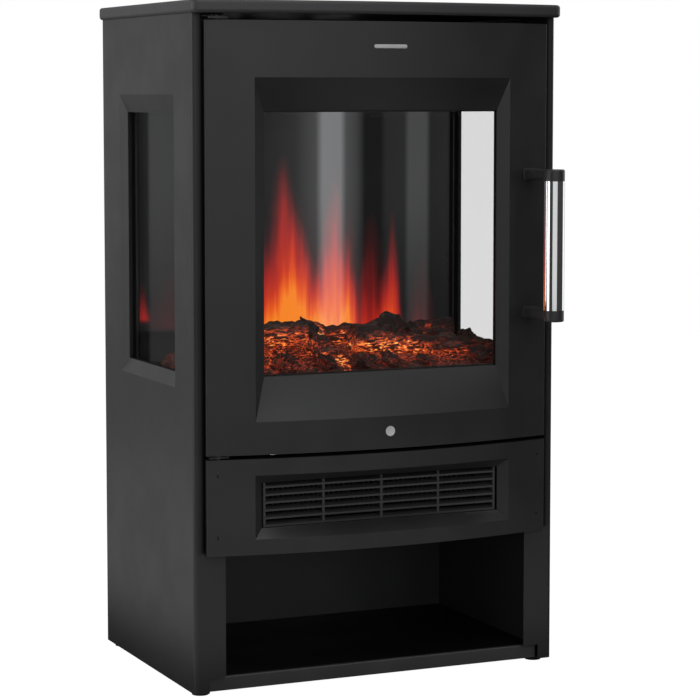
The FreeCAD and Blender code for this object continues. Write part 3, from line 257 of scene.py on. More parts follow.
# ---------------------------------------------------------------- material tools
class Finish:
    """One material, with short names for the nodes that its finish is made of."""

    def __init__(self, name):
        self.material = bpy.data.materials.new(name)
        self.material.use_nodes = True
        self.tree = self.material.node_tree
        self.shader = self.tree.nodes["Principled BSDF"]
        self.place = self.node("ShaderNodeTexCoord").outputs["Object"]

    def node(self, kind, **settings):
        made = self.tree.nodes.new(kind)
        for setting, value in settings.items():
            setattr(made, setting, value)
        return made

    def feed(self, socket, value):
        """Links an output to the socket, or sets the socket to a plain value."""
        if isinstance(value, bpy.types.NodeSocket):
            self.tree.links.new(value, socket)
        else:
            socket.default_value = value

    def set(self, **values):
        """Sets the shader's own sockets, with underscores for the spaces in their names."""
        for name, value in values.items():
            self.feed(self.shader.inputs[name.replace("_", " ")], value)

    def maths(self, operation, *values, clamp=False):
        made = self.node("ShaderNodeMath", operation=operation, use_clamp=clamp)
        for socket, value in zip(made.inputs, values):
            self.feed(socket, value)
        return made.outputs[0]

    def drawn_out(self, stretch):
        """Object coordinates in which a pattern is longer by these factors in X, Y and Z."""
        made = self.node("ShaderNodeMapping")
        self.feed(made.inputs["Vector"], self.place)
        made.inputs["Scale"].default_value = [1.0 / factor for factor in stretch]
        return made.outputs["Vector"]

    def axes(self):
        made = self.node("ShaderNodeSeparateXYZ")
        self.feed(made.inputs[0], self.place)
        return made.outputs

    def noise(self, size, stretch=(1, 1, 1), detail=3.0, roughness=0.55, distortion=0.0):
        made = self.node("ShaderNodeTexNoise")
        self.feed(made.inputs["Vector"], self.drawn_out(stretch))
        made.inputs["Scale"].default_value = 1.0 / size
        made.inputs["Detail"].default_value = detail
        made.inputs["Roughness"].default_value = roughness
        made.inputs["Distortion"].default_value = distortion
        return made.outputs["Fac"]

    def cells(self, size, stretch=(1, 1, 1)):
        made = self.node("ShaderNodeTexVoronoi", feature="DISTANCE_TO_EDGE")
        self.feed(made.inputs["Vector"], self.drawn_out(stretch))
        made.inputs["Scale"].default_value = 1.0 / size
        return made.outputs["Distance"]

    def spread(self, value, low, high, out_low, out_high):
        """Takes the range low to high smoothly over to out_low to out_high."""
        made = self.node("ShaderNodeMapRange", interpolation_type="SMOOTHSTEP")
        self.feed(made.inputs["Value"], value)
        made.inputs["From Min"].default_value = low
        made.inputs["From Max"].default_value = high
        made.inputs["To Min"].default_value = out_low
        made.inputs["To Max"].default_value = out_high
        return made.outputs["Result"]

    def ramp(self, factor, stops):
        """A colour ramp; each stop is a place from 0 to 1 and a colour of three numbers."""
        made = self.node("ShaderNodeValToRGB")
        elements = made.color_ramp.elements
        while len(elements) < len(stops):
            elements.new(0.5)
        for element, (place, colour) in zip(elements, stops):
            element.position = place
            element.color = (*colour, 1.0)
        self.feed(made.inputs["Fac"], factor)
        return made.outputs["Color"]

    def blend(self, kind, share, first, second):
        made = self.node("ShaderNodeMix", data_type="RGBA", blend_type=kind)
        self.feed(made.inputs["Factor"], share)
        self.feed(made.inputs[6], first)
        self.feed(made.inputs[7], second)
        return made.outputs[2]

    def relief(self, height, depth):
        """Adds a bump of this depth in metres over the relief that is already there."""
        made = self.node("ShaderNodeBump")
        before = self.shader.inputs["Normal"].links
        if before:
            self.feed(made.inputs["Normal"], before[0].from_socket)
        made.inputs["Distance"].default_value = depth
        self.feed(made.inputs["Height"], height)
        self.feed(self.shader.inputs["Normal"], made.outputs["Normal"])


def shade(colour, factor):
    return tuple(min(1.0, channel * factor) for channel in colour)


def mottled(finish, colour, roughness, size, swing=0.10, gloss_swing=0.04):
    """A colour and a roughness that drift a little over the surface."""
    drift = finish.noise(size, detail=4.0)
    finish.set(Base_Color=finish.ramp(drift, [(0.30, shade(colour, 1.0 - swing)),
                                              (0.70, shade(colour, 1.0 + swing))]))
    finish.set(Roughness=finish.spread(drift, 0.30, 0.70, roughness - gloss_swing,
                                       roughness + gloss_swing))


def nodes_in_slot(slot):
    """The CAD nodes that the record gives this finish."""
    found = []
    for name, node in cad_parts.items():
        if node.material_slots[0].material.name.split(".")[0] == slot:
            found.append(name)
    return found


def dress(names, material):
    """Gives every listed CAD node this one material."""
    for name in names:
        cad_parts[name].material_slots[0].material = material


# ---------------------------------------------------------------- modelling tools
def deselect_all():
    if bpy.context.object and bpy.context.object.mode == "EDIT":
        bpy.ops.object.mode_set(mode="OBJECT")
    bpy.ops.object.select_all(action="DESELECT")


def pick(piece):
    """Selects this piece alone and makes it the active one."""
    deselect_all()
    piece.select_set(True)
    bpy.context.view_layer.objects.active = piece


def edit(piece):
    """Opens the piece in edit mode with nothing selected."""
    bpy.context.view_layer.objects.active = piece
    bpy.ops.object.mode_set(mode="EDIT")
    bpy.ops.mesh.select_all(action="DESELECT")


def choose(piece, mode, test):
    """Selects only the elements that pass the test; mode is VERT, EDGE or FACE."""
    bpy.ops.mesh.select_mode(type=mode)
    bpy.ops.mesh.select_all(action="DESELECT")
    mesh = bmesh.from_edit_mesh(piece.data)
    elements = {"VERT": mesh.verts, "EDGE": mesh.edges, "FACE": mesh.faces}[mode]
    for element in elements:
        if test(element):
            element.select_set(True)
    bmesh.update_edit_mesh(piece.data)


def leave_edit():
    bpy.ops.object.mode_set(mode="OBJECT")


def modify(piece, kind, **settings):
    """Adds one modifier to the piece and applies it."""
    bpy.context.view_layer.objects.active = piece
    modifier = piece.modifiers.new(kind.title(), kind)
    for setting, value in settings.items():
        setattr(modifier, setting, value)
    bpy.ops.object.modifier_apply(modifier=modifier.name)


def texture(name, kind, size, **settings):
    """A modelling texture for the displace modifier; size is in metres."""
    made = bpy.data.textures.new(name, kind)
    made.noise_scale = size
    for setting, value in settings.items():
        setattr(made, setting, value)
    return made


def displace(piece, pattern, strength, guide=None, direction="NORMAL", middle=0.5):
    """Pushes the surface along direction by the pattern, read in the guide's own space."""
    settings = {"texture": pattern, "strength": strength, "direction": direction,
                "mid_level": middle, "texture_coords": "GLOBAL"}
    if guide:
        settings["texture_coords"] = "OBJECT"
        settings["texture_coords_object"] = guide
    modify(piece, "DISPLACE", **settings)


def settle(piece, name, material, body, angle=50):
    """Names a finished piece, puts its place into its mesh and hands it to its body."""
    pick(piece)
    bpy.ops.object.transform_apply(location=True, rotation=True, scale=True)
    bpy.ops.object.shade_smooth_by_angle(angle=math.radians(angle))
    piece.name = name
    piece.data.name = name
    piece.data.materials.clear()
    piece.data.materials.append(material)
    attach(piece, body)
    piece.select_set(False)
    return piece


# ---------------------------------------------------------------- finishes
def powder_coat(name, colour, settings):
    coat = Finish(name)
    mottled(coat, colour, settings.coat_roughness, 0.05, swing=0.08)
    coat.relief(coat.noise(settings.coat_grain * 8.0, detail=1.0), settings.coat_relief * 1.6)
    coat.relief(coat.noise(settings.coat_grain, detail=2.0), settings.coat_relief)
    return coat.material


def panel_coat(colour, settings):
    """The side panels: their narrow front return beside the door gets painted shade, near black
    with little reflection.
    """
    coat = Finish("panel_coat")
    mottled(coat, colour, settings.coat_roughness, 0.05, swing=0.08)
    across, depth, up = coat.axes()
    aside = coat.maths("ABSOLUTE", across)
    # Painted shade: beside the door and above the fascia, the return is blended to near black and
    # loses most of its reflection.
    edge = DOOR_HIGH.x + 0.001
    soft = coat.maths("MULTIPLY", coat.spread(aside, edge, DOOR_HIGH.x + 0.0105, 1.0, 0.0), 0.55)
    deep = coat.spread(aside, edge, DOOR_HIGH.x + 0.007, 1.0, 0.0)
    inner = coat.maths("MAXIMUM", soft, deep)
    front = coat.spread(depth, PANEL_LOW.y + 0.002, PANEL_LOW.y + 0.004, 1.0, 0.0)
    raised = coat.spread(up, FASCIA_LOW.z, FASCIA_LOW.z + 0.004, 0.0, 1.0)
    shaded = coat.maths("MULTIPLY", coat.maths("MULTIPLY", inner, front), raised)
    before = coat.shader.inputs["Base Color"].links[0].from_socket
    coat.set(Base_Color=coat.blend("MIX", shaded, before, (0.001, 0.001, 0.001, 1.0)))
    coat.set(Specular_IOR_Level=coat.maths("MULTIPLY_ADD", shaded, -0.46, 0.5))
    coat.relief(coat.noise(settings.coat_grain, detail=2.0), settings.coat_relief)
    return coat.material


def board_coat(colour, settings):
    """The base board: its front edge keeps the coat, and behind it the floor of the niche gets
    painted shade, near black with less reflection.
    """
    coat = Finish("base_board_coat")
    mottled(coat, colour, settings.coat_roughness, 0.05, swing=0.08)
    # Painted shade: behind the front edge the colour goes to near black and the reflection drops.
    front = coat.spread(coat.axes()[1], BOARD_LOW.y + 0.001, BOARD_LOW.y + 0.006, 1.0, 0.0)
    before = coat.shader.inputs["Base Color"].links[0].from_socket
    coat.set(Base_Color=coat.blend("MIX", front, (0.004, 0.004, 0.004, 1.0), before))
    coat.set(Specular_IOR_Level=coat.maths("MULTIPLY_ADD", front, 0.35, 0.15))
    coat.relief(coat.noise(settings.coat_grain, detail=2.0), settings.coat_relief)
    return coat.material


def plain_finish(slot):
    colour, metal, roughness, grain, depth, stretch = PLAIN_FINISHES[slot]
    made = Finish(slot)
    mottled(made, colour, roughness, 0.02)
    made.set(Metallic=metal)
    made.relief(made.noise(grain, stretch=stretch), depth)
    return made.material


def circuit_laminate():
    """Green laminate with lighter copper tracks under the mask."""
    made = Finish("circuit_board")
    tracks = made.spread(made.cells(0.004, stretch=(1, 2, 1)), 0.02, 0.05, 1.0, 0.0)
    made.set(Base_Color=made.ramp(tracks, [(0.0, (0.010, 0.060, 0.025)),
                                           (1.0, (0.030, 0.140, 0.055))]))
    made.set(Roughness=made.spread(tracks, 0.0, 1.0, 0.38, 0.26))
    made.relief(tracks, 0.00005)
    return made.material


def chrome_plate(colour):
    made = Finish("polished_chrome")
    haze = made.noise(0.03, stretch=(1, 1, 3))
    made.set(Base_Color=made.ramp(haze, [(0.3, shade(colour, 0.98)), (0.7, colour)]))
    made.set(Roughness=made.spread(haze, 0.3, 0.7, 0.045, 0.075))
    made.set(Metallic=1.0)
    return made.material


def window_glass(settings):
    """Toughened glass: clear enough to see the fire, with a faint haze of wiping marks."""
    made = Finish("tinted_glass")
    wiping = made.noise(0.05, stretch=(3, 3, 1), detail=5.0)
    colour = tuple(settings.pane_colour)
    made.set(Base_Color=made.ramp(wiping, [(0.35, shade(colour, 0.7)), (0.65, shade(colour, 1.5))]))
    made.set(Roughness=made.spread(wiping, 0.35, 0.65, 0.01, 0.03))
    made.set(Alpha=settings.pane_density, IOR=1.25)
    return made.material


# ---------------------------------------------------------------- flame picture
def flame_heat(finish, across, up):
    """Heat of the flame picture at each point of the screen, from 0 to about 1."""
    sway = finish.noise(0.030, stretch=(1, 1, 3.5), detail=2.0)
    wander = finish.maths("MULTIPLY", finish.maths("SUBTRACT", sway, 0.5), 0.016)
    grain = finish.noise(0.007, stretch=(1, 1, 16), detail=2.0)
    streaks = finish.spread(grain, 0.3, 0.7, 0.84, 1.12)
    total = 0.0
    for middle, foot, height, half_width, lean, heat in FLAMES.values():
        foot_level = SCREEN_LOW.z + foot
        rise = finish.maths("DIVIDE", finish.maths("SUBTRACT", up, foot_level), height)
        left_over = finish.maths("SUBTRACT", 1.0, rise, clamp=True)
        axis = finish.maths("MULTIPLY_ADD", rise, lean, middle)
        offset = finish.maths("SUBTRACT", finish.maths("ADD", across, wander), axis)
        width = finish.maths("MULTIPLY", finish.maths("POWER", left_over, 0.75), half_width)
        width = finish.maths("ADD", width, 0.003)
        share = finish.maths("DIVIDE", offset, width)
        body = finish.maths("SUBTRACT", 1.0, finish.maths("MULTIPLY", share, share), clamp=True)
        fade = finish.maths("POWER", left_over, 0.85)
        body = finish.maths("POWER", body, 1.7)
        start = finish.spread(up, foot_level - 0.006, foot_level + 0.002, 0.0, heat)
        tongue = finish.maths("MULTIPLY", finish.maths("MULTIPLY", body, fade), start)
        total = finish.maths("ADD", total, tongue)
    return finish.maths("MULTIPLY", total, streaks)


def flame_picture(settings):
    """Dark glossy screen with painted reflections of the softboxes in soft vertical stripes, and
    the projected flames.
    """
    made = Finish("flame_screen")
    across, _, up = made.axes()
    heat = flame_heat(made, across, up)
    fire = made.ramp(heat, [
        (0.00, (0.0, 0.0, 0.0)),
        (0.12, (0.022, 0.001, 0.001)),
        (0.28, (0.140, 0.004, 0.004)),
        (0.45, (0.380, 0.012, 0.006)),
        (0.62, (0.600, 0.036, 0.004)),
        (0.82, (0.830, 0.110, 0.004)),
        (1.00, (0.940, 0.230, 0.010)),
    ])
    # Painted reflections: the softboxes' stripes go into the emission, fainter towards the screen's
    # foot.
    width = SCREEN_HIGH.x - SCREEN_LOW.x
    stops = [((x - SCREEN_LOW.x) / width, (grey, grey * 1.01, grey * 1.03))
             for x, grey in SCREEN_REFLECTION_BANDS]
    place = made.maths("DIVIDE", made.maths("SUBTRACT", across, SCREEN_LOW.x), width)
    fade = made.spread(up, SCREEN_LOW.z + 0.02, SCREEN_LOW.z + 0.17, 0.45, 1.0)
    reflection_bands = made.blend("MULTIPLY", 1.0, made.ramp(place, stops), fade)
    made.set(Base_Color=made.ramp(made.noise(0.02), [(0.3, (0.006, 0.006, 0.007)),
                                                     (0.7, (0.009, 0.009, 0.010))]))
    made.set(Roughness=made.spread(made.noise(0.03), 0.3, 0.7, 0.20, 0.26), Specular_IOR_Level=0.12)
    made.set(Emission_Color=made.blend("ADD", 1.0, fire, reflection_bands))
    made.set(Emission_Strength=settings.flame_strength)
    return made.material


# ---------------------------------------------------------------- fuel
def fuel_heat(finish):
    """Heat of the fuel: soft glows round the hot places."""
    across, _, up = finish.axes()
    total = 0.0
    for middle, height, half_width, half_height, heat in HOT_PLACES.values():
        level = BED_LOW.z + height
        sideways = finish.maths("DIVIDE", finish.maths("SUBTRACT", across, middle), half_width)
        upwards = finish.maths("DIVIDE", finish.maths("SUBTRACT", up, level), half_height)
        distance = finish.maths("ADD", finish.maths("MULTIPLY", sideways, sideways),
                                finish.maths("MULTIPLY", upwards, upwards))
        glow = finish.maths("SUBTRACT", 1.0, distance, clamp=True)
        total = finish.maths("MULTIPLY_ADD", glow, heat, total)
    return total


def burning_fuel(name, settings, stretch, bark, ash, level=1.0, on_top=0.08):
    """Charred moulding, lit from inside: glowing streaks and cracks between dark crusts."""
    made = Finish(name)
    streaks = made.noise(0.0030, stretch=stretch, detail=7.0, roughness=0.72, distortion=0.35)
    cracks = made.spread(made.cells(0.010, stretch=stretch), 0.0, 0.06, 1.0, 0.0)
    hot_streaks = made.spread(streaks, 0.48, 0.66, 0.04, 1.0)
    glints = made.spread(made.noise(0.0017, stretch=stretch, detail=1.0), 0.62, 0.72, 0.0, 1.0)
    open_grain = made.maths("MAXIMUM", hot_streaks, made.maths("MULTIPLY", cracks, 0.6))
    open_grain = made.maths("MULTIPLY_ADD", glints, 0.7, open_grain)
    normal = made.node("ShaderNodeSeparateXYZ")
    made.feed(normal.inputs[0], made.node("ShaderNodeNewGeometry").outputs["Normal"])
    bare = made.spread(normal.outputs["Z"], 0.25, 0.80, level, level * on_top)
    glow = made.maths("MULTIPLY", made.maths("MULTIPLY", fuel_heat(made), open_grain), bare)
    made.set(Emission_Color=made.ramp(glow, [
        (0.00, (0.0, 0.0, 0.0)),
        (0.08, (0.030, 0.004, 0.002)),
        (0.25, (0.160, 0.016, 0.006)),
        (0.50, (0.480, 0.055, 0.012)),
        (0.80, (0.850, 0.180, 0.024)),
        (1.00, (1.000, 0.500, 0.140)),
    ]))
    made.set(Emission_Strength=settings.ember_strength)
    crust = made.noise(0.010, stretch=stretch, detail=6.0, roughness=0.65)
    made.set(Base_Color=made.ramp(crust, [
        (0.30, shade(bark, 0.35)),
        (0.52, bark),
        (0.72, ash),
    ]))
    made.set(Roughness=made.spread(crust, 0.3, 0.7, 0.72, 0.92))
    made.relief(streaks, 0.0012)
    made.relief(cracks, -0.0008)
    return made.material


def bark_log(name, node, start, end, radii, material, settings):
    """A burnt log from start to end, which are shares of the CAD log's box."""
    low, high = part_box(node)
    size = high - low
    first = Vector([low[k] + size[k] * start[k] for k in range(3)])
    last = Vector([low[k] + size[k] * end[k] for k in range(3)])
    axis = last - first
    turn = axis.to_track_quat("Z", "Y").to_euler()
    middle = (first + last) / 2
    deselect_all()
    bpy.ops.mesh.primitive_cone_add(vertices=96, radius1=radii[0], radius2=radii[1],
                                    depth=axis.length, end_fill_type="NGON",
                                    location=middle, rotation=turn)
    piece = bpy.context.object
    edit(piece)
    half = axis.length / 2
    choose(piece, "FACE", lambda face: len(face.verts) > 4)
    for share in (0.10, 0.20, 0.22, 0.22):
        bpy.ops.mesh.inset(thickness=min(radii) * share, use_individual=True)
    bpy.ops.mesh.poke()
    choose(piece, "EDGE", lambda edge: abs(edge.verts[0].co.z - edge.verts[1].co.z) > half)
    bpy.ops.mesh.subdivide(number_cuts=max(24, int(axis.length / 0.0011)))
    leave_edit()
    bpy.ops.object.empty_add(location=middle, rotation=turn, scale=(1, 1, 2.6))
    guide = bpy.context.object
    displace(piece, texture(name + "_bow", "CLOUDS", 0.045), 0.016, guide, "Y")
    displace(piece, texture(name + "_sway", "CLOUDS", 0.035), 0.012, guide, "X")
    plates = texture(name + "_plates", "VORONOI", 0.008, weight_1=-1.0, weight_2=1.0)
    displace(piece, plates, settings.bark_relief, guide)
    knots = texture(name + "_knots", "CLOUDS", 0.014, noise_depth=3)
    displace(piece, knots, settings.bark_relief * 1.2, guide)
    displace(piece, texture(name + "_fibre", "CLOUDS", 0.0022, noise_depth=2), 0.0010, guide)
    bpy.data.objects.remove(guide)
    settle(piece, name, material, "cabinet")
    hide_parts(node)
    return piece


def ember_coals(material, settings):
    """The bed: a crowned sheet of packed coals over a closed moulded underside."""
    size = BED_HIGH - BED_LOW
    middle = (BED_LOW + BED_HIGH) / 2
    deselect_all()
    bpy.ops.mesh.primitive_grid_add(x_subdivisions=12, y_subdivisions=5, size=1.0,
                                    location=(middle.x, middle.y, BED_LOW.z))
    piece = bpy.context.object
    piece.scale = (size.x, size.y, 1.0)
    bpy.ops.object.transform_apply(location=False, rotation=False, scale=True)
    heights = (0.0015, 0.55 * size.z, 0.85 * size.z, 0.95 * size.z, 0.80 * size.z, 0.25 * size.z)
    edit(piece)
    for row, height in enumerate(heights):
        row_y = -size.y / 2 + size.y * row / 5
        choose(piece, "VERT", lambda vert: abs(vert.co.y - row_y) < size.y * 0.02)
        bpy.ops.transform.translate(value=(0, 0, height))
    bpy.ops.mesh.select_all(action="SELECT")
    bpy.ops.mesh.subdivide(number_cuts=16, smoothness=0.6)
    leave_edit()
    coals = texture("coals", "VORONOI", 0.014, weight_1=-1.0, weight_2=1.0)
    displace(piece, coals, settings.coal_relief, direction="Z", middle=0.35)
    displace(piece, texture("heaps", "CLOUDS", 0.030, noise_depth=1), 0.006, direction="Z")
    displace(piece, texture("crumbs", "CLOUDS", 0.0035, noise_depth=3), 0.0030, direction="Z")
    edit(piece)
    choose(piece, "EDGE", lambda edge: edge.is_boundary)
    bpy.ops.mesh.extrude_edges_move()
    bpy.ops.transform.resize(value=(1, 1, 0), center_override=(middle.x, middle.y, BED_LOW.z))
    bpy.ops.mesh.edge_face_add()
    bpy.ops.mesh.select_all(action="SELECT")
    bpy.ops.mesh.normals_make_consistent(inside=False)
    leave_edit()
    settle(piece, "ember_coals", material, "cabinet")
    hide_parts("ember_bed")


def charcoal_pattern():
    """One broken lump of charcoal, a metre wide, from which the others are copied."""
    deselect_all()
    bpy.ops.mesh.primitive_ico_sphere_add(subdivisions=5, radius=0.5)
    piece = bpy.context.object
    edit(piece)
    bpy.ops.mesh.select_all(action="SELECT")
    bpy.ops.transform.resize(value=(1.0, 0.8, 0.72))
    leave_edit()
    displace(piece, texture("lump_form", "CLOUDS", 0.40, noise_depth=1), 0.50)
    edit(piece)
    for direction, reach in LUMP_BREAKS:
        normal = Vector(direction).normalized()
        bpy.ops.mesh.select_all(action="SELECT")
        bpy.ops.mesh.bisect(plane_co=normal * reach, plane_no=normal,
                            clear_outer=True, use_fill=True)
    leave_edit()
    modify(piece, "REMESH", mode="VOXEL", voxel_size=0.026)
    plates = texture("lump_plates", "VORONOI", 0.22, weight_1=-1.0, weight_2=1.0)
    displace(piece, plates, 0.11)
    displace(piece, texture("lump_crust", "CLOUDS", 0.09, noise_depth=4), 0.07)
    return piece


# ---------------------------------------------------------------- operators
class FIREPLACE_OT_coat_casing(bpy.types.Operator):
    """Powder coats the steel casing and lacquers the top"""
    bl_idname = "fireplace.coat_casing"
    bl_label = "Coat the casing"

    def execute(self, context):
        settings = context.scene.fireplace_casing
        coat = powder_coat("satin_black_steel", tuple(settings.coat_colour), settings)
        lacquer = powder_coat("black_slab", tuple(settings.slab_colour), settings)
        # The niche liner takes the casing coat made 1.5 times lighter: painted light in the recess.
        niche = powder_coat("niche_coat", shade(settings.coat_colour, 1.5), settings)
        dress(nodes_in_slot("satin_black_steel"), coat)
        dress(nodes_in_slot("black_slab"), lacquer)
        # The base board takes the top's colour made 1.15 times lighter: painted light for its
        # weakly lit front.
        dress(["base_board"], board_coat(shade(settings.slab_colour, 1.15), settings))
        dress(["left_side_panel", "right_side_panel"],
              panel_coat(tuple(settings.coat_colour), settings))
        dress(["niche_liner"], niche)
        dress(["outlet_grille"], lacquer)
        dress(["hinge_pins"], coat)
        return {"FINISHED"}


class FIREPLACE_OT_finish_fittings(bpy.types.Operator):
    """Finishes the plastics, rubber, plated steel, boards and motors"""
    bl_idname = "fireplace.finish_fittings"
    bl_label = "Finish the fittings"

    def execute(self, context):
        for slot in PLAIN_FINISHES:
            dress(nodes_in_slot(slot), plain_finish(slot))
        dress(nodes_in_slot("circuit_board"), circuit_laminate())
        return {"FINISHED"}


class FIREPLACE_OT_glaze_panes(bpy.types.Operator):
    """Gives the door and both side windows their glass"""
    bl_idname = "fireplace.glaze_panes"
    bl_label = "Glaze the panes"

    def execute(self, context):
        dress(nodes_in_slot("tinted_glass"), window_glass(context.scene.fireplace_glass))
        return {"FINISHED"}


class FIREPLACE_OT_polish_handle(bpy.types.Operator):
    """Chromes the handle bar"""
    bl_idname = "fireplace.polish_handle"
    bl_label = "Polish the handle"

    def execute(self, context):
        chrome = chrome_plate(tuple(context.scene.fireplace_trim.chrome_colour))
        dress(nodes_in_slot("polished_chrome"), chrome)
        return {"FINISHED"}


class FIREPLACE_OT_light_flames(bpy.types.Operator):
    """Shows the flames on the curved screen"""
    bl_idname = "fireplace.light_flames"
    bl_label = "Light the flames"

    def execute(self, context):
        dress(["flame_screen"], flame_picture(context.scene.fireplace_fire))
        return {"FINISHED"}


class FIREPLACE_OT_lay_fuel(bpy.types.Operator):
    """Models the ember bed, the four logs and the loose charcoal"""
    bl_idname = "fireplace.lay_fuel"
    bl_label = "Lay the fuel"

    def execute(self, context):
        settings = context.scene.fireplace_fire
        crust = burning_fuel("ember_resin", settings, (1.6, 1.6, 1), (0.034, 0.024, 0.020),
                             (0.130, 0.100, 0.085), 1.1, 0.50)
        bark = burning_fuel("charred_log", settings, (3.6, 1, 1), (0.050, 0.035, 0.028),
                            (0.180, 0.140, 0.118), 1.0, 0.12)
        char = burning_fuel("charcoal", settings, (1.4, 1, 1), (0.034, 0.026, 0.022),
                            (0.130, 0.105, 0.092), 0.26, 0.15)
        ember_coals(crust, settings)
        bark_log("burnt_back_log", "back_log", (0.0, 0.62, 0.42), (1.0, 0.38, 0.40),
                 (0.0120, 0.0115), bark, settings)
        bark_log("burnt_left_log", "left_log", (0.0, 0.56, 0.40), (1.0, 0.44, 0.56),
                 (0.0112, 0.0130), bark, settings)
        bark_log("burnt_right_log", "right_log", (0.0, 0.60, 0.50), (1.0, 0.30, 0.02),
                 (0.0135, 0.0095), bark, settings)
        bark_log("burnt_front_log", "front_log", (0.45, 1.0, 0.62), (0.56, 0.0, 0.20),
                 (0.0125, 0.0120), bark, settings)
        pattern = charcoal_pattern()
        for name, (across, depth, height, width, turn) in LUMPS.items():
            pick(pattern)
            bpy.ops.object.duplicate(linked=False)
            lump = bpy.context.object
            lump.location = (across, BED_LOW.y + depth, BED_LOW.z + height)
            lump.rotation_euler = Euler((math.radians(turn * 0.7), 0.0, math.radians(turn)))
            lump.scale = (width, width, width * 0.8)
            settle(lump, name, char, "cabinet")
        bpy.data.objects.remove(pattern)
        return {"FINISHED"}


class FIREPLACE_OT_fit_marks(bpy.types.Operator):
    """Fits the plain bar and the plain disc to the door"""
    bl_idname = "fireplace.fit_marks"
    bl_label = "Fit the plain marks"

    def execute(self, context):
        settings = context.scene.fireplace_trim
        silver = Finish("satin_silver")
        mottled(silver, (0.62, 0.62, 0.63), 0.38, 0.01)
        silver.relief(silver.noise(0.0004, stretch=(12, 1, 1)), 0.00002)
        thickness = MARK_STANDOUT * 2
        bar_place = (0.0, DOOR_LOW.y, DOOR_HIGH.z - BAR_DROP)
        deselect_all()
        bpy.ops.mesh.primitive_cube_add(size=1.0, location=bar_place,
                                        scale=(settings.badge_width, thickness,
                                               settings.badge_height))
        bar = bpy.context.object
        bpy.ops.object.transform_apply(location=False, rotation=False, scale=True)
        edit(bar)
        choose(bar, "EDGE",
               lambda edge: abs(edge.verts[0].co.y - edge.verts[1].co.y) > MARK_STANDOUT)
        bpy.ops.mesh.bevel(offset=settings.badge_height * 0.48, segments=8)
        choose(bar, "FACE", lambda face: face.normal.y < -0.9)
        bpy.ops.mesh.inset(thickness=settings.badge_height * 0.12, depth=MARK_STANDOUT * 0.3)
        leave_edit()
        settle(bar, "door_badge_bar", silver.material, "door")
        dot_place = (0.0, DOOR_LOW.y, DOOR_LOW.z + DISC_RISE)
        deselect_all()
        bpy.ops.mesh.primitive_cylinder_add(vertices=48, radius=settings.dot_width / 2,
                                            depth=thickness, location=dot_place,
                                            rotation=(math.radians(90), 0, 0))
        dot = bpy.context.object
        edit(dot)
        choose(dot, "FACE", lambda face: face.normal.z > 0.9)
        bpy.ops.mesh.inset(thickness=settings.dot_width * 0.09)
        bpy.ops.mesh.inset(thickness=settings.dot_width * 0.03, depth=-MARK_STANDOUT * 0.5)
        leave_edit()
        settle(dot, "door_plain_disc", silver.material, "door")
        return {"FINISHED"}


class FIREPLACE_OT_set_stage(bpy.types.Operator):
    """Sets up the pale floor, the soft studio light and the camera"""
    bl_idname = "fireplace.set_stage"
    bl_label = "Set the stage"

    def execute(self, context):
        settings = context.scene.fireplace_stage
        context.scene.view_settings.view_transform = "Standard"
        lay_floor(settings)
        light_world(context.scene)
        level = settings.lamp_level
        for name, (*softbox, radiance) in SOFTBOXES.items():
            hang_softbox(name, *softbox, radiance * level)
        place_lamp("top_softbox", TOP_SIDE, TOP_SIDE, TOP_RADIANCE * level, TOP_PLACE, (0, 0, 0))
        for name, (*card, radiance) in BOUNCE_CARDS.items():
            lay_bounce_card(name, *card, radiance * level)
        place_camera(context.scene, settings)
        return {"FINISHED"}


# ---------------------------------------------------------------- stage
def place_lamp(name, width, height, radiance, place, turn):
    """An area lamp of this radiance, which the camera doesn't see."""
    lamp = bpy.data.lights.new(name, "AREA")
    lamp.shape = "RECTANGLE"
    lamp.size = width
    lamp.size_y = height
    lamp.energy = math.pi * width * height * radiance
    box = bpy.data.objects.new(name, lamp)
    bpy.context.scene.collection.objects.link(box)
    box.location = place
    box.rotation_euler = turn
    box.visible_camera = False


def hang_softbox(name, direction, angle, distance, lower, upper, radiance):
    """A softbox that stands round the object and faces it."""
    width = 2.0 * distance * math.tan(math.radians(angle) / 2.0)
    turn = math.radians(direction)
    place = (distance * math.sin(turn), -distance * math.cos(turn), (lower + upper) / 2.0)
    place_lamp(name, width, upper - lower, radiance, place, (math.radians(90), 0.0, turn))


def lay_bounce_card(name, x, y, width, depth, radiance):
    """A lamp just above the floor that shines upwards."""
    place_lamp(name, width, depth, radiance, (x, y, 0.001), (math.radians(180), 0.0, 0.0))


def light_world(scene):
    """White to the camera; a dim room, darker below, to everything else."""
    world = bpy.data.worlds.new("studio")
    world.use_nodes = True
    scene.world = world
    tree = world.node_tree
    tree.nodes.clear()
    direction = tree.nodes.new("ShaderNodeTexCoord")
    axes = tree.nodes.new("ShaderNodeSeparateXYZ")
    ramp = tree.nodes.new("ShaderNodeValToRGB")
    ramp.color_ramp.elements[0].position = 0.35
    ramp.color_ramp.elements[0].color = (0.02, 0.02, 0.02, 1)
    ramp.color_ramp.elements[1].position = 0.75
    ramp.color_ramp.elements[1].color = (0.10, 0.10, 0.10, 1)
    halve = tree.nodes.new("ShaderNodeMath")
    halve.operation = "MULTIPLY_ADD"
    halve.inputs[1].default_value = 0.5
    halve.inputs[2].default_value = 0.5
    room = tree.nodes.new("ShaderNodeBackground")
    white = tree.nodes.new("ShaderNodeBackground")
    white.inputs["Color"].default_value = (1, 1, 1, 1)
    path = tree.nodes.new("ShaderNodeLightPath")
    mix = tree.nodes.new("ShaderNodeMixShader")
    output = tree.nodes.new("ShaderNodeOutputWorld")
    tree.links.new(direction.outputs["Generated"], axes.inputs[0])
    tree.links.new(axes.outputs["Z"], halve.inputs[0])
    tree.links.new(halve.outputs[0], ramp.inputs["Fac"])
    tree.links.new(ramp.outputs["Color"], room.inputs["Color"])
    tree.links.new(path.outputs["Is Camera Ray"], mix.inputs[0])
    tree.links.new(room.outputs[0], mix.inputs[1])
    tree.links.new(white.outputs[0], mix.inputs[2])
    tree.links.new(mix.outputs[0], output.inputs["Surface"])


